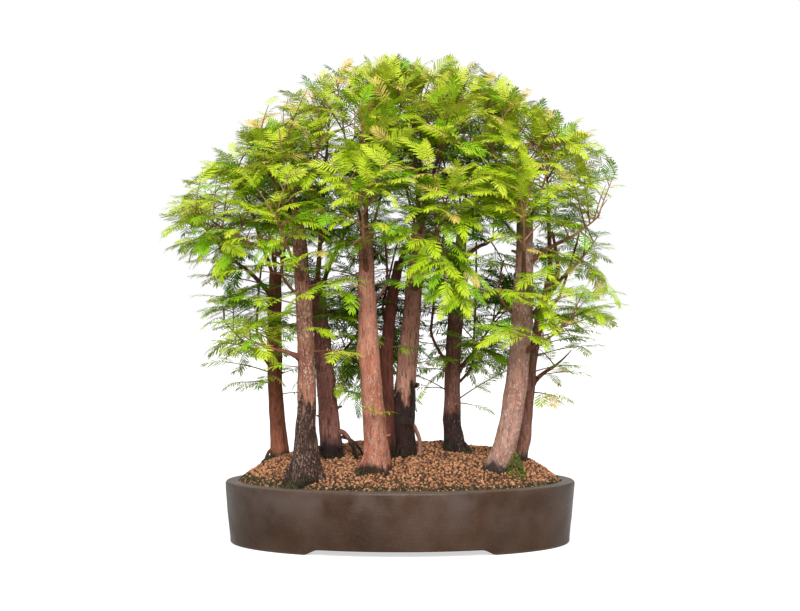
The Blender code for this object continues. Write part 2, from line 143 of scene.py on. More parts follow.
def ramp(tree, value, low, high, first=0.0, last=1.0):
    """Goes from first to last while the value goes from low to high."""
    return wire(tree, "ShaderNodeMapRange", {0: value, 1: low, 2: high, 3: first, 4: last}).outputs[0]


def cloud(tree, place, scale, detail):
    """Soft noise at these places, with this many waves to a metre."""
    values = {"Vector": place, "Scale": scale, "Detail": detail}
    return wire(tree, "ShaderNodeTexNoise", values).outputs["Fac"]


def object_place(tree):
    """The place on the object itself, in metres."""
    return wire(tree, "ShaderNodeTexCoord").outputs["Object"]


def mix_colours(tree, factor, *colours):
    """The mix of two colours, each a socket or an (r, g, b) value."""
    ends = [colour if isinstance(colour, bpy.types.NodeSocket) else (*colour, 1) for colour in colours]
    return wire(tree, "ShaderNodeMix", {0: factor, 6: ends[0], 7: ends[1]}, data_type="RGBA").outputs[2]


def finish_material(name, roughness, specular):
    """A new material with its tree and its Principled shader."""
    made = bpy.data.materials.new(name)
    made.use_nodes = True
    shader = made.node_tree.nodes["Principled BSDF"]
    shader.inputs["Roughness"].default_value = roughness
    shader.inputs["Specular IOR Level"].default_value = specular
    return made, made.node_tree, shader


def paint(tree, shader, colour, strength, distance, height):
    """Gives a shader its colour, and its relief from a height."""
    tree.links.new(colour, shader.inputs["Base Color"])
    bump = wire(tree, "ShaderNodeBump", {"Strength": strength, "Distance": distance, "Height": height})
    tree.links.new(bump.outputs[0], shader.inputs["Normal"])


def node_group(name, inputs, outputs):
    """A shader node group with named number sockets: inputs as name to default, and outputs as names."""
    group = bpy.data.node_groups.new(name, "ShaderNodeTree")
    for label, value in inputs.items():
        group.interface.new_socket(label, in_out="INPUT", socket_type="NodeSocketFloat").default_value = value
    for label in outputs:
        group.interface.new_socket(label, in_out="OUTPUT", socket_type="NodeSocketFloat")
    return group, group.nodes.new("NodeGroupInput").outputs, group.nodes.new("NodeGroupOutput").inputs


def give_out(group, sockets, *values):
    """Links the values to a group's outputs, in their order."""
    for socket, value in zip(sockets, values):
        group.links.new(value, socket)


def make_mottling():
    """Cloudy patches and fine specks, as on fired clay: two masks and a height from object coordinates."""
    sizes = {"Patch Size": 0.05, "Speck Size": 0.0015, "Speck Amount": 0.5}
    group, given, out = node_group("mottling", sizes, ("Patches", "Specks", "Height"))
    place = object_place(group)
    clouds = cloud(group, place, maths(group, "DIVIDE", 1.0, given["Patch Size"]), 5.0)
    patches = ramp(group, clouds, 0.38, 0.64)
    grain = cloud(group, place, maths(group, "DIVIDE", 1.0, given["Speck Size"]), 2.0)
    specks = maths(group, "MULTIPLY", ramp(group, grain, 0.58, 0.70), given["Speck Amount"])
    height = maths(group, "ADD", maths(group, "MULTIPLY", patches, 0.3), grain)
    give_out(group, out, patches, specks, height)
    return group


mottling = make_mottling()


def mottled(tree, patch, speck=0.0015, amount=0.5):
    """The outputs of the mottling at these sizes."""
    sizes = {"Patch Size": patch, "Speck Size": speck, "Speck Amount": amount}
    return wire(tree, "ShaderNodeGroup", sizes, node_tree=mottling).outputs


def stoneware():
    """Dark brown fired clay with a satin skin: reddish clouds, a painted grey sheen high on the wall, wiping
    marks and a paler lip and foot.
    """
    made, tree, shader = finish_material("stoneware", 0.40, 0.24)
    clay = mottled(tree, 0.075, 0.0016, 0.22)
    sheen_patches = mottled(tree, 0.045)["Patches"]
    colour = mix_colours(tree, clay["Patches"], (0.036, 0.0165, 0.0075), (0.064, 0.031, 0.0165))
    place = object_place(tree)
    height = wire(tree, "ShaderNodeSeparateXYZ", {0: place}).outputs["Z"]
    # Painted sheen: a grey reflection laid into the colour in patches, faint low on the wall and strongest on
    # the upper wall.
    painted_sheen_band = ramp(tree, height, 0.3 * POT_HEIGHT, 0.8 * POT_HEIGHT, 0.15, 0.60)
    colour = mix_colours(tree, maths(tree, "MULTIPLY", sheen_patches, painted_sheen_band), colour, (0.112, 0.080, 0.067))
    colour = mix_colours(tree, clay["Specks"], colour, (0.15, 0.11, 0.085))
    # Paler at the lip and at the foot; on the lip this is a painted highlight along its rounded edge.
    lip = ramp(tree, height, POT_HEIGHT - 0.5 * LIP_ROUND, POT_HEIGHT)
    foot = ramp(tree, height, 1.3 * BASE_ROUND, 0.0, 0.0, 0.5)
    pale_lip_and_foot = maths(tree, "MULTIPLY", maths(tree, "MAXIMUM", lip, foot), 0.6)
    colour = mix_colours(tree, pale_lip_and_foot, colour, (0.175, 0.140, 0.112))
    tree.links.new(ramp(tree, sheen_patches, 0.0, 1.0, 0.27, 0.42), shader.inputs["Roughness"])
    wiping = {"Vector": place, "Rotation": (0.0, 0.3, 0.0), "Scale": (0.12, 0.12, 1.0)}
    marks = cloud(tree, wire(tree, "ShaderNodeMapping", wiping).outputs[0], 420.0, 3.0)
    paint(tree, shader, colour, 0.55, 0.0007, maths(tree, "ADD", clay["Height"], marks))
    return made


def pot_profile():
    """The pot's section from the inside of its foot round to the middle of its floor, as (inset, height)."""
    foot_inset = WALL_TAPER + FOOT_WIDTH
    floor = FOOT_HEIGHT + FLOOR_THICKNESS
    profile = [(foot_inset + 0.0003, FOOT_HEIGHT)]
    profile += arc((foot_inset - FOOT_ROUND, FOOT_ROUND), FOOT_ROUND, 0, -90)
    profile += arc((WALL_TAPER + BASE_ROUND, BASE_ROUND), BASE_ROUND, -90, -180)
    top = POT_HEIGHT - LIP_ROUND
    for i in range(1, WALL_RINGS):
        share = i / WALL_RINGS
        height = BASE_ROUND + (top - BASE_ROUND) * share
        profile.append((WALL_TAPER * (1 - share) ** WALL_BELLY, height))
    profile += arc((LIP_ROUND, top), LIP_ROUND, 180, 90, 8)
    profile += arc((LIP_WIDTH - LIP_INNER_ROUND, POT_HEIGHT - LIP_INNER_ROUND), LIP_INNER_ROUND, 90, 0)
    profile += arc((LIP_WIDTH + FLOOR_ROUND, floor + FLOOR_ROUND), FLOOR_ROUND, 180, 270)
    return profile


def arch_height(x):
    """How far the foot ring is cut away at this x: a flat arch that comes down in an S at each end."""
    t = min(1, max(0, (ARCH_WIDTH / 2 - abs(x)) / ARCH_SLOPE))
    return ARCH_HEIGHT * t * t * (3 - 2 * t)


def make_pot(finish):
    """The pot through ovals round its profile, with its foot ring cut away to the arches."""
    profile = pot_profile()
    vertices = []
    for step, (inset, height) in enumerate(profile):
        lifted_to = FOOT_HEIGHT if step < FOOT_STEPS else 2 * FOOT_HEIGHT
        for side in range(POT_SIDES):
            angle = math.tau * side / POT_SIDES
            x = (POT_LENGTH / 2 - inset) * math.cos(angle)
            y = (POT_DEPTH / 2 - inset) * math.sin(angle)
            rise = arch_height(x) * max(0, 1 - height / lifted_to)
            wave = HAND_UNEVENNESS * noise.noise(Vector((x, y, 2 * height)) * 22) * min(1, height / 0.02)
            shrink = 1 - (HAND_UNEVENNESS + wave) / (POT_LENGTH / 2) if BASE_ROUND < height else 1
            vertices.append((x * shrink, y * shrink, height + rise))
    faces = ring_faces(len(profile), POT_SIDES)
    close_ends(vertices, faces, POT_SIDES, (0, 0, FOOT_HEIGHT), (0, 0, FOOT_HEIGHT + FLOOR_THICKNESS))
    return new_piece("pot_shell", vertices, faces, finish)


pot = make_pot(stoneware())
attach(pot, "root")
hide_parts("pot")


# The soil: a firm mound of wet grit, filled to just under the lip and heaped towards the back. It is mostly
# hidden under the loose top grains, and shows dark between them and along the front edge.
SOIL_BELOW_LIP = 0.002
SOIL_GAP = 0.0003
MOUND_HEIGHT = 0.038
MOUND_TILT = 0.14
HEAP_HEIGHT = 0.0016
HEAP_SPACING = 0.040
FOOT_SINK = 0.004
SOIL_RINGS = 56
SOIL_SIDES = 180
SOIL_LUMPS = 0.0018
GRIT_DEPTH = 0.0016


def soil_height(x, y):
    """The mound's height, as in the source of the solids."""
    inset = LIP_WIDTH + SOIL_GAP
    across = math.hypot(x / (POT_LENGTH / 2 - inset), y / (POT_DEPTH / 2 - inset))
    heap = math.sin(math.pi * x / HEAP_SPACING) * math.cos(math.pi * (y + x / 3) / HEAP_SPACING)
    mound = MOUND_HEIGHT + MOUND_TILT * y + HEAP_HEIGHT * heap
    return POT_HEIGHT - SOIL_BELOW_LIP + max(0, 1 - across**6) * mound


def damp_soil():
    """Dark damp grit with olive patches of algae."""
    made, tree, shader = finish_material("damp soil", 0.9, 0.3)
    grit = mottled(tree, 0.012, 0.0018, 1.0)
    colour = mix_colours(tree, grit["Patches"], (0.030, 0.022, 0.012), (0.055, 0.050, 0.020))
    colour = mix_colours(tree, grit["Specks"], colour, (0.15, 0.07, 0.03))
    paint(tree, shader, colour, 0.8, 0.001, grit["Height"])
    return made


def make_soil(finish):
    """The mound from the pot's floor up, with small lumps on top."""
    floor = FOOT_HEIGHT + FLOOR_THICKNESS + SOIL_GAP
    half_length = POT_LENGTH / 2 - LIP_WIDTH - 2 * SOIL_GAP
    half_depth = POT_DEPTH / 2 - LIP_WIDTH - 2 * SOIL_GAP
    rings = [(1 - 1.2 * FLOOR_ROUND / half_length, floor)]
    rings.append((1, floor + 1.2 * FLOOR_ROUND))
    rings += [(1 - (i / SOIL_RINGS) ** 1.4, None) for i in range(SOIL_RINGS)]
    vertices = []
    for share, height in rings:
        for side in range(SOIL_SIDES):
            angle = math.tau * side / SOIL_SIDES
            x = half_length * share * math.cos(angle)
            y = half_depth * share * math.sin(angle)
            lump = SOIL_LUMPS * noise.fractal(Vector((x, y, 0)) * 90, 1.0, 2.0, 3) * min(1, 8 * (1 - share))
            surface = soil_height(x, y) + (lump - GRIT_DEPTH)
            vertices.append((x, y, surface if height is None else height))
    faces = ring_faces(len(rings), SOIL_SIDES)
    close_ends(vertices, faces, SOIL_SIDES, (0, 0, floor), (0, 0, soil_height(0, 0)))
    return new_piece("soil_mound", vertices, faces, finish)


soil = make_soil(damp_soil())
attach(soil, "root")
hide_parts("soil")


# The top grains: 3 to 6 mm crumbs of fired clay, orange, tan and dark brown, spread loose over the mound.
# They lie as they fell, thickest on the mound and a few on the bare edge at the front.
GRAIN_KINDS = 7
GRAIN_SIZE = 0.0047
GRAIN_SPACING = 0.0038
GRAIN_SEED = 11
GRAIN_TINTS = {
    "orange": ((0.35, 0.152, 0.066), (0.57, 0.295, 0.152)),
    "brown": ((0.17, 0.066, 0.033), (0.42, 0.185, 0.095)),
    "dark": ((0.045, 0.022, 0.014), (0.135, 0.058, 0.032)),
}


def geometry_tree(name, numbers):
    """A tree that puts objects on points, with inputs for their kinds, their finish and these numbers."""
    tree = bpy.data.node_groups.new(name, "GeometryNodeTree")
    for label, kind in (("Geometry", "Geometry"), ("Kinds", "Collection"), ("Finish", "Material")):
        tree.interface.new_socket(label, in_out="INPUT", socket_type="NodeSocket" + kind)
    for label, default in numbers.items():
        kind = "NodeSocketInt" if isinstance(default, int) else "NodeSocketFloat"
        tree.interface.new_socket(label, in_out="INPUT", socket_type=kind).default_value = default
    tree.interface.new_socket("Geometry", in_out="OUTPUT", socket_type="NodeSocketGeometry")
    return tree, tree.nodes.new("NodeGroupInput").outputs, tree.nodes.new("NodeGroupOutput").inputs


def put_kinds(tree, given, out, values):
    """Ends a tree: puts one of the kinds on each point, makes them real and gives them their finish."""
    kinds = {"Collection": given["Kinds"], "Separate Children": True, "Reset Children": True}
    instance = wire(tree, "GeometryNodeCollectionInfo", kinds).outputs[0]
    values = {"Instance": instance, "Pick Instance": True, **values}
    placed = wire(tree, "GeometryNodeInstanceOnPoints", values)
    real = wire(tree, "GeometryNodeRealizeInstances", {"Geometry": placed.outputs[0]}).outputs[0]
    dressed = wire(tree, "GeometryNodeSetMaterial", {"Geometry": real, "Material": given["Finish"]})
    tree.links.new(dressed.outputs[0], out[0])


def run_tree(obj, tree, values):
    """Turns the tree's result on this object into the object's plain mesh."""
    nodes = obj.modifiers.new(tree.name, "NODES")
    nodes.node_group = tree
    for socket in tree.interface.items_tree:
        if socket.in_out == "INPUT" and socket.name in values:
            nodes[socket.identifier] = values[socket.name]
    graph = bpy.context.evaluated_depsgraph_get()
    made = bpy.data.meshes.new_from_object(obj.evaluated_get(graph))
    obj.modifiers.remove(nodes)
    old = obj.data
    obj.data = made
    bpy.data.meshes.remove(old)


def scatter_tree():
    """Spreads a collection's objects over the faces that look up, turned at random, by a fixed seed."""
    numbers = {"Spacing": 0.004, "Density": 60000.0, "Smallest": 0.7, "Largest": 1.2, "Seed": 1}
    tree, given, out = geometry_tree("scatter", numbers)
    height = wire(tree, "ShaderNodeSeparateXYZ", {0: wire(tree, "GeometryNodeInputNormal").outputs[0]})
    looks_up = wire(tree, "FunctionNodeCompare", {0: height.outputs["Z"], 1: 0.25}, operation="GREATER_THAN")
    spread = wire(
        tree,
        "GeometryNodeDistributePointsOnFaces",
        {
            "Mesh": given["Geometry"],
            "Selection": looks_up.outputs[0],
            "Distance Min": given["Spacing"],
            "Density Max": given["Density"],
            "Seed": given["Seed"],
        },
        distribute_method="POISSON",
    )
    any_way = {0: (0, 0, 0), 1: (math.tau, math.tau, math.tau), "Seed": given["Seed"]}
    turn = wire(tree, "FunctionNodeRandomValue", any_way, data_type="FLOAT_VECTOR")
    any_size = {2: given["Smallest"], 3: given["Largest"], "Seed": given["Seed"]}
    size = wire(tree, "FunctionNodeRandomValue", any_size, data_type="FLOAT")
    points = {"Points": spread.outputs["Points"], "Rotation": turn.outputs[0], "Scale": size.outputs[1]}
    put_kinds(tree, given, out, points)
    return tree


scatter = scatter_tree()


def make_grains(name, size):
    """A few crumbs, each a block with uneven broken faces, in a collection of their own."""
    kinds = bpy.data.collections.new(name)
    for kind in range(GRAIN_KINDS):
        draw = random.Random(kind)
        shape = bmesh.new()
        bmesh.ops.create_icosphere(shape, subdivisions=1, radius=size / 2)
        stretch = Vector([draw.uniform(0.7, 1.2) for _ in range(3)])
        for vertex in shape.verts:
            vertex.co = vertex.co * stretch * draw.uniform(0.78, 1.2)
        bmesh.ops.recalc_face_normals(shape, faces=shape.faces)
        mesh = bpy.data.meshes.new(f"{name} {kind}")
        shape.to_mesh(mesh)
        shape.free()
        kinds.objects.link(bpy.data.objects.new(f"{name} {kind}", mesh))
    return kinds


def grain_material(name, dark, light):
    """Matt fired clay whose tint changes from grain to grain."""
    made, tree, shader = finish_material("grains " + name, 0.92, 0.25)
    place = object_place(tree)
    cells = wire(tree, "ShaderNodeTexVoronoi", {"Vector": place, "Scale": 0.8 / GRAIN_SIZE})
    tone = wire(tree, "ShaderNodeSeparateColor", {0: cells.outputs["Color"]})
    colour = mix_colours(tree, tone.outputs[0], dark, light)
    paint(tree, shader, colour, 0.5, 0.0004, cloud(tree, place, 1800.0, 2.0))
    return made


grain_kinds = make_grains("grains of clay", GRAIN_SIZE)
grain_seed = GRAIN_SEED
for tint, (dark, light) in GRAIN_TINTS.items():
    finish = grain_material(tint, dark, light)
    grains = bpy.data.objects.new("grains_" + tint, soil.data.copy())
    bpy.context.scene.collection.objects.link(grains)
    values = {"Kinds": grain_kinds, "Smallest": 0.62, "Largest": 1.25, "Seed": grain_seed, "Finish": finish}
    run_tree(grains, scatter, {"Spacing": GRAIN_SPACING * (1.5 if tint == "dark" else 1.2), **values})
    grain_seed += 1
    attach(grains, "root")


# The crust and the moss: a dark band of old moss and fine roots along the edge of the pot, and small
# cushions of moss at the feet of some trunks. Each is a low bed that carries fine crumbs.
CRUMB_SIZE = 0.0026
CRUST_SPACING = 0.0019
CRUST_SHARES = (0.990, 0.968, 0.946, 0.925)
CRUST_RISE = 0.0012
CRUST_STEPS = 220
MOSS_SPACING = 0.0014
CRUMB_DENSITY = 400000.0
MOSS_RINGS = 9
MOSS_SIDES = 30

# Cushions of moss: middle, radius, height and tint
Cushion = namedtuple("Cushion", "x y radius height tint")
CUSHIONS = (
    Cushion(0.158, -0.075, 0.0180, 0.030, "green"),
    Cushion(-0.052, -0.098, 0.0120, 0.007, "dark"),
    Cushion(-0.192, 0.034, 0.0150, 0.006, "dark"),
    Cushion(-0.145, -0.122, 0.0190, 0.008, "dark"),
    Cushion(0.094, 0.024, 0.0140, 0.007, "dark"),
)
MOSS_TINTS = {
    "green": ((0.050, 0.085, 0.010), (0.150, 0.205, 0.022)),
    "dark": ((0.022, 0.024, 0.010), (0.070, 0.062, 0.028)),
}


def make_crust_bed():
    """A band along the soil's edge, widest at the front and the left end."""
    vertices = []
    for share in CRUST_SHARES:
        for step in range(CRUST_STEPS):
            angle = math.tau * step / CRUST_STEPS
            front = 0.55 - 0.45 * math.sin(angle + 0.5)
            way = Vector((math.cos(angle), math.sin(angle), 0))
            inward = 1 - (1 - share) * front * (1 + 0.5 * noise.noise(way * 9))
            x = (POT_LENGTH / 2 - LIP_WIDTH) * inward * math.cos(angle)
            y = (POT_DEPTH / 2 - LIP_WIDTH) * inward * math.sin(angle)
            vertices.append((x, y, soil_height(x, y) + CRUST_RISE * noise.noise(Vector((x, y, 0)) * 120)))
    return vertices, ring_faces(len(CRUST_SHARES), CRUST_STEPS)


def make_cushion_bed(cushion, first):
    """A low dome on the soil."""
    vertices = []
    for ring in range(MOSS_RINGS):
        out = 1 - ring / MOSS_RINGS
        for side in range(MOSS_SIDES):
            angle = math.tau * side / MOSS_SIDES
            way = Vector((math.cos(angle), math.sin(angle), 0))
            swelling = 1 + 0.25 * noise.noise(way * 1.7 + Vector((cushion.x * 90, 0, 0)))
            reach = cushion.radius * out * swelling
            x = cushion.x + reach * way.x
            y = cushion.y + reach * way.y
            z = soil_height(x, y) - 0.001 + cushion.height * (1 - out * out) ** 1.3
            vertices.append((x, y, z + 0.0012 * noise.noise(Vector((x, y, z)) * 260)))
    vertices.append((cushion.x, cushion.y, soil_height(cushion.x, cushion.y) + cushion.height))
    faces = ring_faces(MOSS_RINGS, MOSS_SIDES, first)
    top = first + len(vertices) - 1
    for side in range(MOSS_SIDES):
        faces.append((top - MOSS_SIDES + side, top - MOSS_SIDES + (side + 1) % MOSS_SIDES, top))
    return vertices, faces


crumb_kinds = make_grains("crumbs", CRUMB_SIZE)
for tint, (dark, light) in MOSS_TINTS.items():
    vertices, faces = make_crust_bed() if tint == "dark" else ([], [])
    for cushion in CUSHIONS:
        if cushion.tint == tint:
            points, quads = make_cushion_bed(cushion, len(vertices))
            vertices += points
            faces += quads
    finish = grain_material("moss " + tint, dark, light)
    moss = new_piece("moss_" + tint, vertices, faces, finish)
    spacing, smallest, largest = (MOSS_SPACING, 0.5, 0.9) if tint == "green" else (CRUST_SPACING, 0.7, 1.4)
    values = {"Kinds": crumb_kinds, "Spacing": spacing, "Smallest": smallest, "Largest": largest}
    run_tree(moss, scatter, {**values, "Density": CRUMB_DENSITY, "Seed": grain_seed, "Finish": finish})
    grain_seed += 1
    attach(moss, "root")


# The trunks: nine young trees, each cut off flat at the top when the group was planted, with flaking
# fibrous bark. Some are smooth and terracotta, some tan and stringy, and four have a black wet foot with a
# ragged upper edge.
Stem = namedtuple("Stem", "name x y top lean bow kick back foot waist crown")
STEMS = {
    stem.name: stem
    for stem in (
        Stem("far_left", -0.174, 0.040, 0.385, -0.008, -0.005, 0.000, 0.015, 0.027, 0.0225, 0.018),
        Stem("front_left", -0.130, -0.100, 0.447, -0.008, 0.008, -0.003, -0.008, 0.058, 0.025, 0.018),
        Stem("inner_left", -0.096, -0.010, 0.372, -0.019, 0.003, -0.005, 0.012, 0.034, 0.029, 0.017),
        Stem("front_centre", -0.032, -0.090, 0.440, -0.021, -0.007, 0.007, -0.005, 0.042, 0.031, 0.018),
        Stem("inner_centre", -0.019, -0.020, 0.400, 0.006, -0.014, 0.012, 0.020, 0.023, 0.020, 0.014),
        Stem("centre", 0.007, 0.000, 0.456, 0.033, 0.003, -0.013, 0.005, 0.036, 0.030, 0.018),
        Stem("rear_right", 0.079, 0.030, 0.465, 0.020, -0.004, -0.006, 0.020, 0.034, 0.0235, 0.015),
        Stem("front_right", 0.133, -0.070, 0.460, 0.027, 0.008, 0.013, -0.006, 0.040, 0.0315, 0.022),
        Stem("inner_right", 0.171, 0.000, 0.385, 0.030, -0.016, 0.020, 0.020, 0.020, 0.016, 0.012),
    )
}
FLARE_DECAY = 0.028
KICK_DECAY = 0.040
ROOT_LOBES = 4
ROOT_LOBE_DEPTH = 0.10
ROOT_LOBE_TURN = 40
TRUNK_SIDES = 52
TRUNK_STEP = 0.0021
RIDGE_WIDTH = 0.0045
RIDGE_LENGTH = 0.034
RIDGE_HEIGHT = 0.00080
DENT_DEPTH = 0.0013
TOE_HEIGHT = 0.0050
TOE_DECAY = 0.020
CAP_RINGS = 5
CAP_RISE = 0.0008
UP = Vector((0, 0, 1))

# Looks of each stem's bark: two tints that it drifts between, the tint of its flecks and how many, how deep
# its ridges are, and how high its dark wet foot goes, with its tint and how much of the flecks shows in it
Bark = namedtuple("Bark", "shade light fleck flecks ridges wet_height wet wet_flecks")
BARKS = {
    "far_left": Bark(
        (0.27, 0.092, 0.054), (0.49, 0.175, 0.098), (0.48, 0.28, 0.21),
        0.10, 0.5, 0.004, (0.04, 0.02, 0.015), 0.2,
    ),
    "front_left": Bark(
        (0.30, 0.108, 0.066), (0.54, 0.260, 0.170), (0.62, 0.40, 0.31),
        0.42, 1.2, 0.108, (0.020, 0.012, 0.009), 0.45,
    ),
    "inner_left": Bark(
        (0.190, 0.070, 0.055), (0.41, 0.185, 0.137), (0.44, 0.26, 0.20),
        0.20, 0.9, 0.019, (0.010, 0.007, 0.007), 0.06,
    ),
    "front_centre": Bark(
        (0.48, 0.160, 0.090), (0.70, 0.305, 0.205), (0.58, 0.42, 0.36),
        0.36, 0.5, 0.003, (0.07, 0.03, 0.022), 0.4,
    ),
    "inner_centre": Bark(
        (0.120, 0.038, 0.027), (0.27, 0.088, 0.058), (0.28, 0.15, 0.11),
        0.08, 0.6, 0.020, (0.02, 0.010, 0.008), 0.1,
    ),
    "centre": Bark(
        (0.56, 0.222, 0.148), (0.82, 0.450, 0.325), (0.56, 0.36, 0.28),
        0.34, 1.0, 0.094, (0.005, 0.004, 0.004), 0.05,
    ),
    "rear_right": Bark(
        (0.190, 0.076, 0.053), (0.38, 0.185, 0.130), (0.48, 0.30, 0.24),
        0.28, 0.9, 0.050, (0.018, 0.010, 0.010), 0.4,
    ),
    "front_right": Bark(
        (0.43, 0.190, 0.132), (0.63, 0.375, 0.290), (0.66, 0.48, 0.40),
        0.42, 0.5, 0.006, (0.07, 0.055, 0.055), 0.3,
    ),
    "inner_right": Bark(
        (0.24, 0.095, 0.065), (0.40, 0.195, 0.145), (0.48, 0.32, 0.25),
        0.25, 0.6, 0.006, (0.05, 0.03, 0.025), 0.3,
    ),
}

# Swellings of the bark, as (height over the foot, azimuth in degrees, radius, how far it stands out)
KNOTS = {
    "far_left": ((0.030, 285, 0.0050, 0.0012), (0.085, 250, 0.0060, 0.0012)),
    "front_left": ((0.030, 250, 0.0140, 0.0030), (0.034, 310, 0.0120, 0.0026), (0.070, 275, 0.0100, 0.0015)),
    "inner_left": ((0.052, 320, 0.0080, 0.0022), (0.110, 270, 0.0070, 0.0014), (0.018, 300, 0.0100, 0.0030)),
    "front_centre": (
        (0.168, 185, 0.0110, 0.0040),
        (0.028, 292, 0.0060, 0.0032),
        (0.016, 245, 0.0090, 0.0030),
        (0.030, 215, 0.0070, 0.0026),
        (0.277, 250, 0.0070, 0.0026),
    ),
    "centre": (
        (0.045, 188, 0.0360, 0.0050), (0.048, 285, 0.0060, 0.0032),
        (0.080, 205, 0.0100, 0.0028), (0.315, 240, 0.0080, 0.0025),
    ),
    "rear_right": ((0.020, 300, 0.0120, 0.0022), (0.210, 275, 0.0060, 0.0014)),
    "front_right": (
        (0.184, 280, 0.0045, 0.0016), (0.054, 300, 0.0040, 0.0020),
        (0.037, 285, 0.0045, 0.0018), (0.205, 350, 0.0070, 0.0024),
    ),
    "inner_right": ((0.064, 235, 0.0045, 0.0030),),
}


def foot_height(stem):
    """The level at which a stem starts, a little way in the soil."""
    return soil_height(stem.x, stem.y) - FOOT_SINK


def stem_line(stem, height):
    """The middle of a stem at a height over its foot."""
    t = height / (stem.top - foot_height(stem))
    hook = 1 - math.exp(-height / KICK_DECAY)
    x = stem.x + stem.lean * t + stem.bow * 4 * t * (1 - t) + stem.kick * hook
    return Vector((x, stem.y + stem.back * t, foot_height(stem) + height))


def stem_radius(stem, height):
    """Half a stem's thickness at a height over its foot."""
    t = height / (stem.top - foot_height(stem))
    flare = (stem.foot - stem.waist) * math.exp(-height / FLARE_DECAY)
    return (stem.waist + (stem.crown - stem.waist) * t * t + flare) / 2


def drawn_noise(tree, place, stretch, size, detail, low, high):
    """A mask from noise that is drawn out upwards: 0 below low and 1 over high."""
    drawn = wire(tree, "ShaderNodeMapping", {"Vector": place, "Scale": (1.0, 1.0, stretch)}).outputs[0]
    values = {"Vector": drawn, "Scale": maths(tree, "DIVIDE", 1.0, size), "Detail": detail, "Roughness": 0.62}
    return ramp(tree, wire(tree, "ShaderNodeTexNoise", values).outputs["Fac"], low, high)


def make_bark_grain():
    """Bark that runs up a limb: slow changes of tint, fine fibres, torn flecks and cracks, with a height."""
    sizes = {"Fibre Width": 0.0012, "Fleck Size": 0.0021, "Fleck Amount": 0.3}
    group, given, out = node_group("bark grain", sizes, ("Patches", "Fibres", "Flecks", "Cracks", "Height"))
    place = object_place(group)
    patches = drawn_noise(group, place, 0.35, 0.016, 4.0, 0.36, 0.64)
    fibres = drawn_noise(group, place, 0.10, given["Fibre Width"], 4.0, 0.34, 0.66)
    edge = maths(group, "SUBTRACT", 0.66, maths(group, "MULTIPLY", given["Fleck Amount"], 0.36))
    torn = drawn_noise(group, place, 0.50, given["Fleck Size"], 3.0, edge, maths(group, "ADD", edge, 0.05))
    flecks = maths(group, "MULTIPLY", torn, drawn_noise(group, place, 0.6, 0.012, 2.0, 0.32, 0.60))
    wide = maths(group, "MULTIPLY", given["Fibre Width"], 2.6)
    shaded_cracks = drawn_noise(group, place, 0.14, wide, 3.0, 0.42, 0.36)
    height = maths(group, "ADD", maths(group, "MULTIPLY", fibres, 0.5), flecks)
    give_out(group, out, patches, fibres, flecks, shaded_cracks, maths(group, "SUBTRACT", height, shaded_cracks))
    return group


bark_grain = make_bark_grain()


def dimmed(tint, share):
    """The tint made darker."""
    return [share * value for value in tint]


def bark_material(name, look, ground):
    """Bark in two tints with fibres, flecks and cracks darkened with painted shade, and a dark wet foot that
    ends in a ragged edge.
    """
    made, tree, shader = finish_material("bark " + name, 0.85, 0.15)
    grain = wire(tree, "ShaderNodeGroup", {"Fleck Amount": look.flecks}, node_tree=bark_grain).outputs
    colour = mix_colours(tree, grain["Patches"], look.shade, look.light)
    between = ramp(tree, grain["Fibres"], 0.0, 1.0, 0.74, 0.0)
    colour = mix_colours(tree, between, colour, dimmed(look.shade, 0.55))
    place = object_place(tree)
    height = wire(tree, "ShaderNodeSeparateXYZ", {0: place}).outputs["Z"]
    tall = wire(tree, "ShaderNodeMapping", {"Vector": place, "Scale": (1.0, 1.0, 0.22)}).outputs[0]
    spread = 0.28 * look.wet_height + 0.004
    level = maths(tree, "ADD", height, ramp(tree, cloud(tree, tall, 75.0, 5.0), 0.3, 0.7, -spread, spread))
    top = ground + look.wet_height
    wet = ramp(tree, level, top + 0.009, top - 0.006)
    soaked = mix_colours(tree, grain["Fibres"], look.wet, dimmed(look.wet, 2.4))
    patches = maths(tree, "MULTIPLY", grain["Patches"], 0.12)
    soaked = mix_colours(tree, patches, soaked, dimmed(look.shade, 0.35))
    colour = mix_colours(tree, maths(tree, "MULTIPLY", wet, 0.985), colour, soaked)
    left = ramp(tree, wet, 0.0, 1.0, 0.9, look.wet_flecks)
    colour = mix_colours(tree, maths(tree, "MULTIPLY", grain["Flecks"], left), colour, look.fleck)
    # Painted shade: the cracks are darkened towards a quarter of the shade tint.
    shaded_cracks = maths(tree, "MULTIPLY", grain["Cracks"], 0.65 * min(1, look.ridges))
    colour = mix_colours(tree, shaded_cracks, colour, dimmed(look.shade, 0.25))
    grime = ramp(tree, level, ground + 0.008, ground + 0.002, 0.0, 0.8)
    colour = mix_colours(tree, grime, colour, (0.020, 0.019, 0.009))
    tree.links.new(ramp(tree, wet, 0.0, 1.0, 0.80, 0.36), shader.inputs["Roughness"])
    paint(tree, shader, colour, 0.9, 0.0014, grain["Height"])
    return made


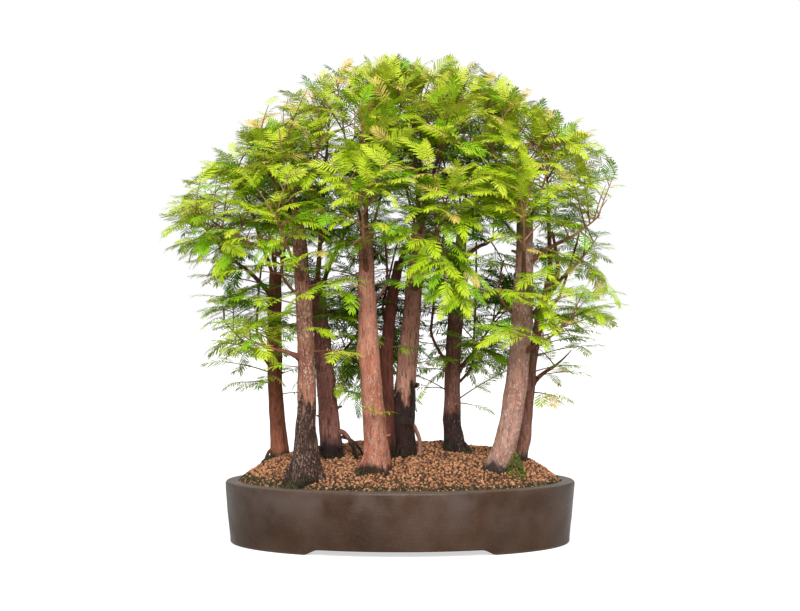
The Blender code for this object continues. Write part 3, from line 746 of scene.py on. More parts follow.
def bark_relief(stem, angle, height):
    """How far the bark stands out here: stringy ridges, dents, knots, and root ridges at the foot."""
    look = BARKS[stem.name]
    girth = stem_radius(stem, height)
    around = Vector((math.cos(angle), math.sin(angle), 0)) * girth
    fibre = Vector((around.x / RIDGE_WIDTH, around.y / RIDGE_WIDTH, height / RIDGE_LENGTH + 9 * stem.x))
    soaked = 1 / (1 + math.exp((height - look.wet_height) / 0.006))
    ridge = RIDGE_HEIGHT * (look.ridges + soaked) * noise.fractal(fibre, 0.9, 2.0, 3)
    beneath = Vector((around.x, around.y, 0.45 * height)) * 75 + Vector((stem.x, 0, 0)) * 100
    dent = DENT_DEPTH * noise.noise(beneath)
    toes = abs(noise.noise(Vector((around.x * 130, around.y * 130, height * 14 + 5 * stem.x))))
    root = math.exp(-height / TOE_DECAY) * (TOE_HEIGHT * toes - 0.0012)
    knots = 0.0
    for level, azimuth, radius, out in KNOTS.get(stem.name, ()):
        turn = (angle - math.radians(azimuth) + math.pi) % math.tau - math.pi
        knots += out * math.exp(-((height - level) ** 2 + (girth * turn) ** 2) / radius**2)
    return ridge + dent + root + knots


def make_trunk(stem):
    """A stem's mesh through level rings, with its bark's relief, closed at its foot and its flat top."""
    tall = stem.top - foot_height(stem)
    rings = round(tall / TRUNK_STEP) + 1
    vertices = []
    for level in range(rings):
        height = tall * level / (rings - 1)
        middle = stem_line(stem, height)
        lobes = ROOT_LOBE_DEPTH * math.exp(-height / FLARE_DECAY)
        for side in range(TRUNK_SIDES):
            angle = math.tau * side / TRUNK_SIDES
            out = Vector((math.cos(angle), math.sin(angle), 0))
            lobe = lobes * math.cos(ROOT_LOBES * angle + ROOT_LOBE_TURN * stem.x)
            radius = stem_radius(stem, height) * (1 + lobe)
            point = middle + out * (radius + bark_relief(stem, angle, height))
            if level == 0:
                point.z = min(point.z, soil_height(point.x, point.y) - FOOT_SINK)
            vertices.append(point)
    top = stem_line(stem, tall)
    for ring in range(1, CAP_RINGS):
        for side in range(TRUNK_SIDES):
            point = vertices[(rings - 1) * TRUNK_SIDES + side].lerp(top, ring / CAP_RINGS)
            point.z += 0.0006 * noise.noise(point * 400) + CAP_RISE
            vertices.append(point)
    faces = ring_faces(rings + CAP_RINGS - 1, TRUNK_SIDES)
    close_ends(vertices, faces, TRUNK_SIDES, stem_line(stem, 0) - FOOT_SINK * UP, top + CAP_RISE * UP)
    finish = bark_material(stem.name, BARKS[stem.name], foot_height(stem) + FOOT_SINK)
    return new_piece("trunk_bark_" + stem.name, vertices, faces, finish)


for stem in STEMS.values():
    trunk = make_trunk(stem)
    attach(trunk, "root")
    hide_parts("trunk_" + stem.name)


# The aerial root: a bare pinkish root that left the centre stem low down, bowed out and went straight into
# the soil. It has thin bark of its own, and goes a little way into the stem and into the soil.
ROOT_TOP = 0.188
ROOT_ASIDE = 0.022
ROOT_BOW = 0.012
ROOT_UPRIGHT = 0.016
ROOT_THICKNESS = 0.0065


def bend(start, middle, end, steps):
    """Points along a curve from start to end, drawn towards the middle."""
    line = []
    for i in range(steps + 1):
        t = i / steps
        line.append((1 - t) ** 2 * start + 2 * t * (1 - t) * middle + t * t * end)
    return line


def limb(line, radii, sides, relief=0.0, first=0):
    """Vertices and faces of a round limb along a line, closed at both ends, with some unevenness."""
    vertices = []
    across = None
    for i, point in enumerate(line):
        along = (line[min(i + 1, len(line) - 1)] - line[max(i - 1, 0)]).normalized()
        across = (across - across.dot(along) * along if across else along.orthogonal()).normalized()
        beside = along.cross(across)
        for side in range(sides):
            angle = math.tau * side / sides
            out = math.cos(angle) * across + math.sin(angle) * beside
            bump = 1 + relief * noise.fractal((point + out * radii[i]) * 260, 1.0, 2.0, 2) if relief else 1
            vertices.append(point + radii[i] * bump * out)
    faces = ring_faces(len(line), sides, first)
    last = first + len(vertices) - sides
    faces.append(tuple(first + side for side in reversed(range(sides))))
    faces.append(tuple(last + side for side in range(sides)))
    return vertices, faces


def taper(thick, thin, count):
    """Radii that go evenly from half the one thickness to half the other."""
    return [(thick + (thin - thick) * i / (count - 1)) / 2 for i in range(count)]


def aerial_root_line(steps):
    """The aerial root from inside the centre stem, out, down and into the soil."""
    stem = STEMS["centre"]
    start = stem_line(stem, ROOT_TOP - foot_height(stem))
    x = stem.x + ROOT_ASIDE
    foot = Vector((x, stem.y, soil_height(x, stem.y) - FOOT_SINK))
    bowed = start.lerp(foot, 0.45) + Vector((ROOT_BOW, -ROOT_BOW / 3, 0))
    upright = foot + UP * ROOT_UPRIGHT
    return [*bend(start, bowed, upright, steps), *bend(upright, upright.lerp(foot, 0.5), foot, 5)[1:]]


root_line = aerial_root_line(30)
root_bark = bark_material(
    "aerial root",
    Bark(
        (0.34, 0.15, 0.11), (0.54, 0.29, 0.21), (0.62, 0.42, 0.33),
        0.2, 0.5, 0.0, (0.16, 0.08, 0.05), 0.5,
    ),
    POT_HEIGHT,
)
root_shape = limb(root_line, taper(0.8 * ROOT_THICKNESS, ROOT_THICKNESS, len(root_line)), 14, relief=0.16)
aerial_root = new_piece("aerial_root_bark", *root_shape, root_bark)
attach(aerial_root, "root")
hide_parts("aerial_root")


# Surface roots and stubs: where a trunk meets the soil a few bare roots run out of it and dive into the
# grains, and here and there stands the stub of a twig that was cut off.
Root = namedtuple("Root", "stem height azimuth reach thickness arch")
ROOTS = (
    Root("inner_left", 0.036, -18, 0.026, 0.0070, 0.008),
    Root("inner_left", 0.028, -4, 0.034, 0.0045, 0.006),
    Root("inner_left", 0.016, 215, 0.012, 0.0050, 0.002),
    Root("front_centre", 0.034, 205, 0.007, 0.0034, 0.002),
    Root("front_centre", 0.026, 225, 0.009, 0.0030, 0.002),
    Root("front_centre", 0.020, 190, 0.010, 0.0036, 0.002),
    Root("front_centre", 0.022, 300, 0.010, 0.0090, 0.001),
    Root("front_right", 0.020, 196, 0.007, 0.0020, 0.003),
    Root("front_right", 0.016, 20, 0.012, 0.0040, 0.002),
    Root("front_left", 0.030, 312, 0.008, 0.0056, 0.001),
    Root("front_left", 0.022, 190, 0.010, 0.0070, 0.001),
    Root("centre", 0.018, 250, 0.012, 0.0060, 0.001),
    Root("inner_centre", 0.014, 285, 0.010, 0.0050, 0.001),
    Root("rear_right", 0.016, 330, 0.013, 0.0060, 0.001),
    Root("far_left", 0.014, 200, 0.011, 0.0050, 0.001),
)
ROOT_STEPS = 12
ROOT_DIVE = 0.003

# A stub: the stem it stands on, its height over the foot, azimuth, length and thickness
Stub = namedtuple("Stub", "stem height azimuth length thickness")
STUBS = (
    Stub("inner_left", 0.066, 0, 0.0070, 0.0034),
    Stub("inner_left", 0.054, 190, 0.0040, 0.0030),
    Stub("centre", 0.096, -15, 0.0075, 0.0064),
    Stub("front_centre", 0.045, -20, 0.0060, 0.0024),
    Stub("front_right", 0.056, -60, 0.0030, 0.0026),
    Stub("front_right", 0.300, 175, 0.0070, 0.0040),
    Stub("inner_right", 0.066, 230, 0.0050, 0.0040),
    Stub("far_left", 0.120, 340, 0.0040, 0.0030),
    Stub("rear_right", 0.300, 190, 0.0060, 0.0040),
)


def outward(azimuth):
    """The level direction at an azimuth in degrees."""
    return Vector((math.cos(math.radians(azimuth)), math.sin(math.radians(azimuth)), 0))


def join_limbs(limbs, sides, relief):
    """Vertices and faces of several limbs, each given as its line and radii."""
    vertices = []
    faces = []
    for line, radii in limbs:
        points, quads = limb(line, radii, sides, relief, len(vertices))
        vertices += points
        faces += quads
    return vertices, faces


def root_limb(root):
    """A root from inside its trunk, arching out and down into the soil."""
    stem = STEMS[root.stem]
    way = outward(root.azimuth)
    middle = stem_line(stem, root.height)
    girth = stem_radius(stem, root.height)
    end = middle + way * (girth + root.reach)
    end.z = soil_height(end.x, end.y) - ROOT_DIVE
    start = middle + way * girth * 0.6
    knee = start.lerp(end, 0.62)
    knee.z = start.z + root.arch
    line = bend(start, knee, end, ROOT_STEPS)
    return line, taper(1.2 * root.thickness, 0.7 * root.thickness, len(line))


def stub_limb(stub):
    """A stub from inside its trunk, pointing a little upwards."""
    stem = STEMS[stub.stem]
    way = (outward(stub.azimuth) + 0.35 * UP).normalized()
    middle = stem_line(stem, stub.height)
    start = middle + way * stem_radius(stem, stub.height) * 0.7
    end = middle + way * (stem_radius(stem, stub.height) + stub.length)
    line = [start.lerp(end, i / 4) for i in range(5)]
    return line, taper(1.5 * stub.thickness, 0.8 * stub.thickness, len(line))


for name, stem in STEMS.items():
    limbs = [root_limb(root) for root in ROOTS if root.stem == name]
    limbs += [stub_limb(stub) for stub in STUBS if stub.stem == name]
    finish = bpy.data.materials["bark " + name]
    roots = new_piece("roots_" + name, *join_limbs(limbs, 9, 0.22), finish)
    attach(roots, "root")


# The boughs: young limbs that rise from the trunks and reach out to the foliage, with thin reddish fibrous
# bark and a swollen collar where each leaves its trunk. Each goes a little way into its trunk, so that no
# joint shows.
BOUGH_THICKNESS = 0.0075
BOUGH_TIP = 0.0046
BOUGH_COLLAR = 0.55
COLLAR_DECAY = 0.006
BOUGH_ARCH = 0.12
BOUGH_RINGS = 44
BOUGH_SIDES = 12
DOOR_DISTANCE = 0.060
DOOR_SHARE = 0.45

# Each mass of foliage: its place, the stem that bears it, its middle, and where its bough leaves the stem,
# as a height. A mass with no such height stands on its stem's cut top.
Mass = namedtuple("Mass", "place stem x y z leaves")
MASSES = (
    Mass("far_left_top", "far_left", -0.205, 0.075, 0.520, None),
    Mass("front_left_top", "front_left", -0.152, -0.100, 0.570, None),
    Mass("inner_left_top", "inner_left", -0.105, 0.060, 0.600, 0.360),
    Mass("front_centre_top", "front_centre", -0.045, -0.085, 0.605, None),
    Mass("centre_top", "centre", 0.030, 0.030, 0.630, None),
    Mass("centre_front_top", "centre", 0.065, -0.085, 0.590, 0.430),
    Mass("rear_right_top", "rear_right", 0.105, 0.105, 0.580, None),
    Mass("front_right_top", "front_right", 0.165, -0.065, 0.580, None),
    Mass("inner_right_top", "inner_right", 0.215, 0.055, 0.535, 0.375),
    Mass("far_left_side", "far_left", -0.280, 0.065, 0.440, 0.345),
    Mass("front_left_side", "front_left", -0.258, -0.080, 0.450, 0.385),
    Mass("front_left_front", "front_left", -0.160, -0.180, 0.440, 0.365),
    Mass("front_centre_front", "front_centre", -0.050, -0.185, 0.450, 0.375),
    Mass("centre_front", "centre", 0.055, -0.165, 0.450, 0.355),
    Mass("front_right_front", "front_right", 0.165, -0.175, 0.450, 0.365),
    Mass("front_right_side", "front_right", 0.270, -0.080, 0.455, 0.390),
    Mass("inner_right_side", "inner_right", 0.285, 0.060, 0.430, 0.340),
    Mass("rear_right_back", "rear_right", 0.155, 0.175, 0.450, 0.395),
    Mass("inner_centre_back", "inner_centre", 0.030, 0.180, 0.460, 0.385),
    Mass("inner_left_back", "inner_left", -0.080, 0.175, 0.460, 0.345),
    Mass("far_left_back", "far_left", -0.190, 0.170, 0.430, 0.330),
    Mass("far_left_low", "far_left", -0.240, 0.040, 0.295, 0.245),
    Mass("front_left_low", "front_left", -0.205, -0.125, 0.290, 0.260),
    Mass("inner_left_low", "inner_left", -0.065, 0.055, 0.290, 0.240),
    Mass("rear_right_low", "rear_right", 0.125, 0.070, 0.290, 0.225),
    Mass("front_right_low", "front_right", 0.215, -0.115, 0.300, 0.265),
    Mass("inner_right_low", "inner_right", 0.245, 0.050, 0.265, 0.220),
)


def middle_of(mass):
    """The middle of a mass."""
    return Vector((mass.x, mass.y, mass.z))


def bough_line(mass, steps):
    """A bough from inside its stem, rising and then reaching out to the door of its mass."""
    stem = STEMS[mass.stem]
    start = stem_line(stem, mass.leaves - foot_height(stem))
    middle = middle_of(mass)
    way = middle - start
    door = middle - way.normalized() * min(DOOR_DISTANCE, DOOR_SHARE * way.length)
    elbow = start.lerp(door, 0.55) + UP * BOUGH_ARCH * (door - start).length
    return bend(start, elbow, door, steps)


def make_bough(mass, finish):
    """A bough's mesh, with a swollen collar where it leaves its trunk."""
    line = bough_line(mass, BOUGH_RINGS)
    radii = taper(BOUGH_THICKNESS, BOUGH_TIP, len(line))
    stem = STEMS[mass.stem]
    trunk = stem_radius(stem, mass.leaves - foot_height(stem))
    for i, point in enumerate(line):
        outside = max(0, (point - line[0]).length - trunk)
        radii[i] *= 1 + BOUGH_COLLAR * math.exp(-outside / COLLAR_DECAY)
    return new_piece("bough_bark_" + mass.place, *limb(line, radii, BOUGH_SIDES, relief=0.14), finish)


bough_bark = bark_material(
    "boughs",
    Bark(
        (0.17, 0.058, 0.036), (0.36, 0.15, 0.092), (0.44, 0.26, 0.18),
        0.2, 0.5, 0.0, (0.1, 0.05, 0.03), 0.5,
    ),
    0.0,
)
for mass in MASSES:
    if mass.leaves:
        bough = make_bough(mass, bough_bark)
        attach(bough, "root")
        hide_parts("bough_" + mass.place)


# Shoots: slender reddish limbs that left the trunks low down and rise beside them into the foliage. They
# have the boughs' bark, and are made as one piece.
Shoot = namedtuple("Shoot", "stem height azimuth aside top thickness")
SHOOTS = (
    Shoot("rear_right", 0.118, 205, 0.027, 0.440, 0.0046),
    Shoot("rear_right", 0.092, -5, 0.017, 0.430, 0.0042),
    Shoot("front_right", 0.200, 12, 0.035, 0.440, 0.0066),
    Shoot("front_right", 0.205, 178, 0.020, 0.400, 0.0040),
    Shoot("inner_right", 0.210, 5, 0.014, 0.440, 0.0046),
    Shoot("far_left", 0.150, 200, 0.016, 0.400, 0.0044),
    Shoot("front_left", 0.245, 170, 0.017, 0.440, 0.0040),
    Shoot("front_centre", 0.225, 20, 0.018, 0.450, 0.0042),
    Shoot("centre", 0.255, 15, 0.017, 0.470, 0.0050),
    Shoot("inner_centre", 0.180, 120, 0.016, 0.430, 0.0040),
    Shoot("inner_left", 0.170, 185, 0.016, 0.420, 0.0042),
)
SHOOT_STEPS = 16
SHOOT_TURN = 2.2


def shoot_limb(shoot):
    """A shoot that leaves its trunk sideways, turns up and then follows the trunk."""
    stem = STEMS[shoot.stem]
    way = outward(shoot.azimuth)
    start = stem_line(stem, shoot.height)
    aside = way * (stem_radius(stem, shoot.height) + shoot.aside)
    turn = stem_line(stem, shoot.height + SHOOT_TURN * shoot.aside) + aside
    tall = shoot.top - foot_height(stem)
    end = stem_line(stem, tall) + way * (stem_radius(stem, tall) + 0.8 * shoot.aside)
    elbow = start.lerp(turn, 0.7)
    elbow.x = turn.x
    elbow.y = turn.y
    upright = bend(turn, turn.lerp(end, 0.5) + 0.003 * way, end, SHOOT_STEPS)
    line = bend(start, elbow, turn, SHOOT_STEPS // 2)[:-1] + upright
    radii = taper(shoot.thickness, 0.6 * shoot.thickness, len(line))
    return line, [radius * (1 + 0.8 * math.exp(-3 * i)) for i, radius in enumerate(radii)]


shoots = new_piece("shoots", *join_limbs([shoot_limb(shoot) for shoot in SHOOTS], 9, 0.14), bough_bark)
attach(shoots, "root")


# The foliage: from each bough or cut top a stem runs on, with branches round it by the golden angle, and
# each branch carries feathery sprays in two ranks. A spray is one season's twig with soft flat needles in
# opposite pairs.
CROWN_LENGTH = 0.704
CROWN_DEPTH = 0.500
CROWN_TOP = 0.700
CROWN_WAIST = 0.440
CROWN_FOOT = 0.155
CROWN_POWER = 2.05
CROWN_LUMPS = 0.15
LUMP_LEVEL = 0.460
LUMP_SPACING = 0.210
SHOULDER_LEVEL = 0.570
SHOULDER_SLOPE = 2.8
LOOSE_SPRAY = 1.04
WINDOW_LEVEL = 0.37
WINDOW_SIZE = 0.027
WINDOW_DEPTH = 0.10
WINDOW_EDGE = 0.24
MASS_REACH = 0.135
SPACE_OVERLAP = 0.010
LIMB_CLEARANCE = 0.003
LIMB_STEP = 0.004
ROOM_STEP = 0.006
GOLDEN_ANGLE = math.pi * (3 - math.sqrt(5))
STEM_RISE = 0.25
BRANCH_SPACING = 0.0092
BRANCH_TRIES = 4
SHORTEST_BRANCH = 0.018
LONGEST_TWIG = 0.045
TOP_SHOOTS = 3
SPRAY_LONGEST = 0.059
SPRAY_SHORTEST = 0.024
SPRAY_STEP = 0.0122
SPRAY_ANGLE = 56
SPRAY_TILT = 0.34
FACE_OUTWARD = 0.30
UPRIGHT_LEVEL = 0.480
UPRIGHT_SPAN = 0.130
TOP_THINNING = 0.40
LOW_LEVEL = 0.400
LOW_SPAN = 0.060
LOW_THINNING = 0.18
SPRAY_SIZES = (0.056, 0.043, 0.031)
SPRAY_VARIANTS = 4
NEEDLE_SPACING = 0.0030
NEEDLE_LENGTH = 0.0140
NEEDLE_WIDTH = 0.0017
BRANCH_THICKNESS = 0.0030
TWIG_THICKNESS = 0.0018
TWIG_TIP = 0.0010


def in_crown(points):
    """Whether each point is inside the crown's outline: a dome, full at the waist, with swellings that wind
    up round it and a left shoulder that slopes more than the right one."""
    x, y, z = points.T
    winding = math.tau * (z - LUMP_LEVEL) / LUMP_SPACING + math.pi - np.arctan2(y, x)
    lumps = CROWN_LUMPS * (1 - np.cos(winding)) / 2
    slope = SHOULDER_SLOPE * np.maximum(0, z - SHOULDER_LEVEL) * np.clip(-x / 0.1, 0, 1)
    sideways = np.hypot(x / (CROWN_LENGTH / 2), y / (CROWN_DEPTH / 2)) * (1 + slope) / (1 - lumps)
    over = z - CROWN_WAIST
    tall = np.where(over > 0, CROWN_TOP - CROWN_WAIST, CROWN_WAIST - CROWN_FOOT)
    return sideways**CROWN_POWER + np.abs(over / tall) ** CROWN_POWER < 1


def in_window(point):
    """Whether this place is in one of the loose openings of the upper crown, through which the sky shows."""
    place = Vector((point.x, WINDOW_DEPTH * point.y, point.z)) / WINDOW_SIZE
    return point.z > WINDOW_LEVEL and noise.noise(place) > WINDOW_EDGE


class Space:
    """The space that each mass of foliage keeps to: in reach of its own middle, not far past half way to the
    next one, inside the crown's outline, and clear of every limb."""

    def __init__(self):
        self.middles = np.array([middle_of(mass) for mass in MASSES])
        places = []
        radii = []
        for stem in STEMS.values():
            tall = stem.top - foot_height(stem)
            for height in np.arange(0, tall, LIMB_STEP):
                places.append(stem_line(stem, height))
                radii.append(stem_radius(stem, height))
        for mass in MASSES:
            if mass.leaves:
                for point in bough_line(mass, BOUGH_RINGS):
                    places.append(point)
                    radii.append(BOUGH_THICKNESS / 2)
        self.limbs = np.array(places)
        self.radii = np.array(radii)

    def holds(self, index, points):
        """Whether all the points are in the space of this mass."""
        points = np.array(points)
        own = self.middles[index]
        if (np.linalg.norm(points - own, axis=1) > MASS_REACH).any():
            return False
        others = np.delete(self.middles, index, axis=0)
        between = others - own
        wide = np.linalg.norm(between, axis=1)
        ways = between / wide[:, None]
        depth = ((others + own) / 2 * ways).sum(axis=1) - points @ ways.T
        if (depth < -SPACE_OVERLAP).any():
            return False
        if not in_crown(points).all():
            return False
        away = np.linalg.norm(points[:, None] - self.limbs[None], axis=2) - self.radii
        return bool((away > LIMB_CLEARANCE).all())

    def room(self, index, start, direction, most):
        """How far a thin twig can run from here."""
        reached = 0.0
        while reached < most and self.holds(index, [start + direction * (reached + ROOM_STEP)]):
            reached += ROOM_STEP
        return reached


# A spray's last value is painted light added to its tint.
Spray = namedtuple("Spray", "start direction flat length lit")


class Growth:
    """One mass of foliage, grown from a stem by a rule with a fixed seed."""

    def __init__(self, space, index):
        self.space = space
        self.index = index
        self.mass = MASSES[index]
        self.draw = random.Random(self.mass.place)
        self.twigs = []
        self.sprays = []
        self.longest = SPRAY_LONGEST
        self.lit = 0.0

    def add_spray(self, start, direction, flat, longest):
        """Adds a spray as long as its space allows, or none."""
        direction = direction.normalized()
        beside = flat.cross(direction).normalized()
        for share in (1.0, 0.8, 0.62):
            length = longest * share
            if length < SPRAY_SHORTEST:
                return False
            tip = start + direction * length / LOOSE_SPRAY
            half = start + direction * 0.5 * length
            if in_window(half):
                return False
            wide = beside * 0.7 * NEEDLE_LENGTH
            if self.space.holds(self.index, [tip, half, half + wide, half - wide]):
                self.sprays.append(Spray(start, direction, flat, length, self.lit))
                return True
        return False

    def grow(self):
        """Puts up the stem, and on a cut top more shoots round it, then branches by the golden angle."""
        start, heading = self.root()
        middle = middle_of(self.mass)
        onward = ((middle - start).normalized() + STEM_RISE * UP).normalized()
        ahead = self.space.room(self.index, middle, onward, MASS_REACH) - 0.5 * SPRAY_LONGEST
        tip = middle + onward * max(0.010, ahead)
        elbow = middle - onward * 0.3 * (middle - start).length
        stems = [bend(start, elbow, tip, 12)]
        if not self.mass.leaves:
            girth = STEMS[self.mass.stem].crown / 2
            for number in range(TOP_SHOOTS):
                way = outward(math.degrees(number * math.tau / TOP_SHOOTS + self.draw.uniform(-0.6, 0.6)))
                side = middle + way * self.draw.uniform(0.030, 0.060)
                upward = (onward + 0.35 * way).normalized()
                rise = self.space.room(self.index, side, upward, MASS_REACH) - 0.4 * SPRAY_LONGEST
                end = side + upward * max(0.010, rise)
                stems.append(bend(start + way * 0.8 * girth, side.lerp(start, 0.35) + 0.012 * way, end, 12))
        for number, stem in enumerate(stems):
            self.twigs.append((stem, BOUGH_TIP if number == 0 else 0.85 * BOUGH_TIP, TWIG_TIP * 1.4, 7))
            self.clothe(stem[-4:], 1)
            long = (stem[-1] - stem[0]).length
            count = max(5, round(long / BRANCH_SPACING / (1 if len(stems) == 1 else 2)))
            for i in range(count):
                t = 0.97 - 0.93 * (i + 0.3) / count
                for attempt in range(BRANCH_TRIES):
                    if self.branch(stem, t, i * GOLDEN_ANGLE + attempt * math.tau / BRANCH_TRIES):
                        break

    def branch(self, stem, t, azimuth):
        """One branch at a share t of the stem, clothed with twigs and sprays."""
        base = self.along(stem, t)
        axis = (stem[-1] - stem[0]).normalized()
        turn = Matrix.Rotation(azimuth + self.draw.uniform(-0.4, 0.4), 3, axis)
        spread = math.radians(104 - 62 * t + self.draw.uniform(-8, 8))
        side = turn @ axis.orthogonal().normalized()
        upward = 0.10 + 0.40 * self.lift(base)
        direction = (math.cos(spread) * axis + math.sin(spread) * side + upward * UP).normalized()
        free = self.space.room(self.index, base, direction, MASS_REACH)
        reach = free - 0.45 * SPRAY_LONGEST
        if free < SPRAY_SHORTEST:
            return False
        if reach < SHORTEST_BRANCH:
            return self.add_spray(base, direction, self.flat(direction, base), min(SPRAY_LONGEST, free))
        end = base + direction * reach
        rise = base.lerp(end, 0.5) + UP * self.draw.uniform(0.04, 0.16) * reach
        line = bend(base, rise, end, 5)
        self.twigs.append((line, BRANCH_THICKNESS, TWIG_TIP, 4))
        self.clothe(line, 1)
        return True

    def along(self, line, share):
        """The point at a share of a line."""
        step = min(len(line) - 2, int(share * (len(line) - 1)))
        return line[step].lerp(line[step + 1], share * (len(line) - 1) - step)

    def lift(self, point):
        """How upright the growth is here, from 0 low in the crown to 1 at its top."""
        return min(1, max(0, (point.z - UPRIGHT_LEVEL) / UPRIGHT_SPAN))

    def flat(self, direction, place, tilting=SPRAY_TILT):
        """Which way the upper face of a spray looks: upwards and out of the crown, tilted at random."""
        tilt = Vector([self.draw.uniform(-1, 1) for _ in range(3)])
        open_side = Vector((place.x / (CROWN_LENGTH / 2), place.y / (CROWN_DEPTH / 2), 0))
        up = (UP + tilting * tilt + FACE_OUTWARD * open_side).normalized()
        return (up - up.dot(direction) * direction).normalized()

    def clothe(self, line, level):
        """Sprays and, on a branch, short twigs, left and right in turn, and a spray at its tip."""
        direction = (line[-1] - line[0]).normalized()
        flat = self.flat(direction, line[0])
        beside = flat.cross(direction).normalized()
        long = (line[-1] - line[0]).length
        self.add_spray(line[-1], direction, flat, self.longest * self.draw.uniform(0.7, 1.0))
        for rank in range(int(long / SPRAY_STEP)):
            base = self.along(line, max(0.02, 1 - (rank + 0.5) * SPRAY_STEP / long))
            for sign in (-1, 1):
                angle = math.radians(SPRAY_ANGLE + self.draw.uniform(-12, 16))
                way = math.cos(angle) * direction + sign * math.sin(angle) * beside
                lift = self.lift(base)
                low = min(1, max(0, (LOW_LEVEL - base.z) / LOW_SPAN))
                if self.draw.random() < TOP_THINNING * lift + LOW_THINNING * low:
                    continue
                way = (way + flat * self.draw.uniform(-0.25, 0.35) + 0.5 * lift * UP).normalized()
                if level == 1 and (rank + (sign > 0)) % 2 and self.twig(base, way):
                    continue
                face = self.flat(way, base, SPRAY_TILT + 0.5 * lift)
                longest = self.longest * (1 - 0.28 * lift) * self.draw.uniform(0.55, 1.0)
                self.add_spray(base, way, face, longest)

    def twig(self, base, way):
        """A short twig with a few sprays, where there is room for one."""
        free = self.space.room(self.index, base, way, MASS_REACH)
        reach = min(LONGEST_TWIG * self.draw.uniform(0.5, 1.0), free - 0.04)
        if reach < SHORTEST_BRANCH:
            return False
        end = base + way * reach
        line = bend(base, base.lerp(end, 0.5) + UP * 0.12 * reach, end, 3)
        self.twigs.append((line, TWIG_THICKNESS, TWIG_TIP, 3))
        self.clothe(line, 2)
        return True

    def root(self):
        """Where the mass's stem starts, and which way it sets off."""
        if self.mass.leaves:
            line = bough_line(self.mass, BOUGH_RINGS)
            return line[-1], (line[-1] - line[-2]).normalized()
        stem = STEMS[self.mass.stem]
        return stem_line(stem, stem.top - foot_height(stem)) - 0.002 * UP, UP.copy()


space = Space()
growths = []
for index in range(len(MASSES)):
    growth = Growth(space, index)
    growth.grow()
    growths.append(growth)


# Sprigs: thin side shoots on the trunks, from low on them up into the foliage, each with a few small
# sprays. A row names a stem, and gives for each sprig its level over the ground that the pot stands on, its
# azimuth, its length and how far its tip rises. Their order is kept, because it decides their tints.
SPRIGS = (
    (
        "far_left",
        (0.236, 192, 0.058, 0.018), (0.222, 215, 0.044, 0.004), (0.262, 205, 0.060, 0.020),
        (0.205, 330, 0.024, 0.006), (0.232, 320, 0.026, 0.012),
    ),
    ("inner_left", (0.226, 335, 0.026, -0.004), (0.262, 330, 0.030, 0.010)),
    (
        "rear_right",
        (0.214, 190, 0.030, 0.004), (0.240, 205, 0.036, 0.006), (0.272, 185, 0.040, 0.012),
        (0.196, 345, 0.022, -0.004), (0.240, 340, 0.036, 0.016), (0.275, 350, 0.040, 0.018),
    ),
    ("inner_right", (0.232, 340, 0.048, 0.010), (0.212, 325, 0.034, -0.004), (0.262, 350, 0.060, 0.016)),
    ("front_centre", (0.178, 262, 0.004, 0.012)),
    ("centre", (0.250, 350, 0.022, 0.008)),
    (
        "far_left",
        (0.292, 230, 0.060, 0.016), (0.300, 300, 0.050, 0.010), (0.268, 270, 0.044, 0.002),
        (0.236, 262, 0.030, 0.000),
    ),
    (
        "front_left",
        (0.300, 300, 0.036, 0.004), (0.318, 225, 0.050, 0.010), (0.345, 275, 0.056, 0.008),
        (0.360, 325, 0.060, 0.010), (0.250, 205, 0.020, 0.004), (0.272, 338, 0.036, 0.002),
    ),
    ("inner_left", (0.288, 322, 0.060, 0.006), (0.310, 300, 0.056, 0.010), (0.214, 348, 0.044, -0.004)),
    (
        "front_centre",
        (0.350, 232, 0.040, 0.004), (0.362, 318, 0.060, 0.008), (0.384, 266, 0.052, 0.006),
        (0.396, 205, 0.056, 0.010), (0.404, 330, 0.060, 0.012),
    ),
    ("inner_centre", (0.300, 200, 0.040, 0.008), (0.276, 320, 0.030, 0.002)),
    ("centre", (0.356, 290, 0.056, 0.008), (0.378, 240, 0.056, 0.010), (0.330, 340, 0.050, 0.006)),
    (
        "rear_right",
        (0.318, 205, 0.052, 0.010), (0.338, 320, 0.060, 0.012), (0.362, 250, 0.060, 0.010),
        (0.194, 355, 0.072, 0.050), (0.208, 193, 0.046, 0.030),
    ),
    ("front_right", (0.352, 235, 0.056, 0.006), (0.372, 285, 0.050, 0.010), (0.386, 215, 0.060, 0.012)),
    (
        "inner_right",
        (0.290, 330, 0.064, 0.012), (0.312, 10, 0.070, 0.016), (0.240, 15, 0.050, 0.010),
        (0.276, 20, 0.062, 0.014),
    ),
    (
        "far_left",
        (0.330, 205, 0.080, 0.020), (0.345, 245, 0.075, 0.016), (0.362, 190, 0.085, 0.018),
        (0.315, 275, 0.060, 0.006),
    ),
    (
        "front_left",
        (0.382, 250, 0.060, 0.008), (0.400, 290, 0.060, 0.008), (0.415, 215, 0.070, 0.012),
        (0.372, 200, 0.075, 0.012), (0.335, 190, 0.070, 0.014),
    ),
    ("inner_left", (0.340, 310, 0.070, 0.010)),
    ("front_centre", (0.420, 285, 0.056, 0.008), (0.374, 190, 0.070, 0.014)),
    ("inner_right", (0.340, 340, 0.080, 0.016)),
    ("front_right", (0.410, 250, 0.056, 0.010), (0.395, 310, 0.060, 0.012)),
    ("far_left", (0.300, 100, 0.060, 0.010)),
    ("inner_left", (0.300, 110, 0.060, 0.010)),
    ("centre", (0.300, 95, 0.060, 0.010)),
    ("rear_right", (0.300, 80, 0.060, 0.010)),
    ("inner_right", (0.300, 70, 0.060, 0.010)),
)
SPRIG_SPRAY = 0.039
# Painted light: the sprigs' sprays get tints a little brighter than their place in the crown gives.
SPRIG_PAINTED_LIGHT = 0.05


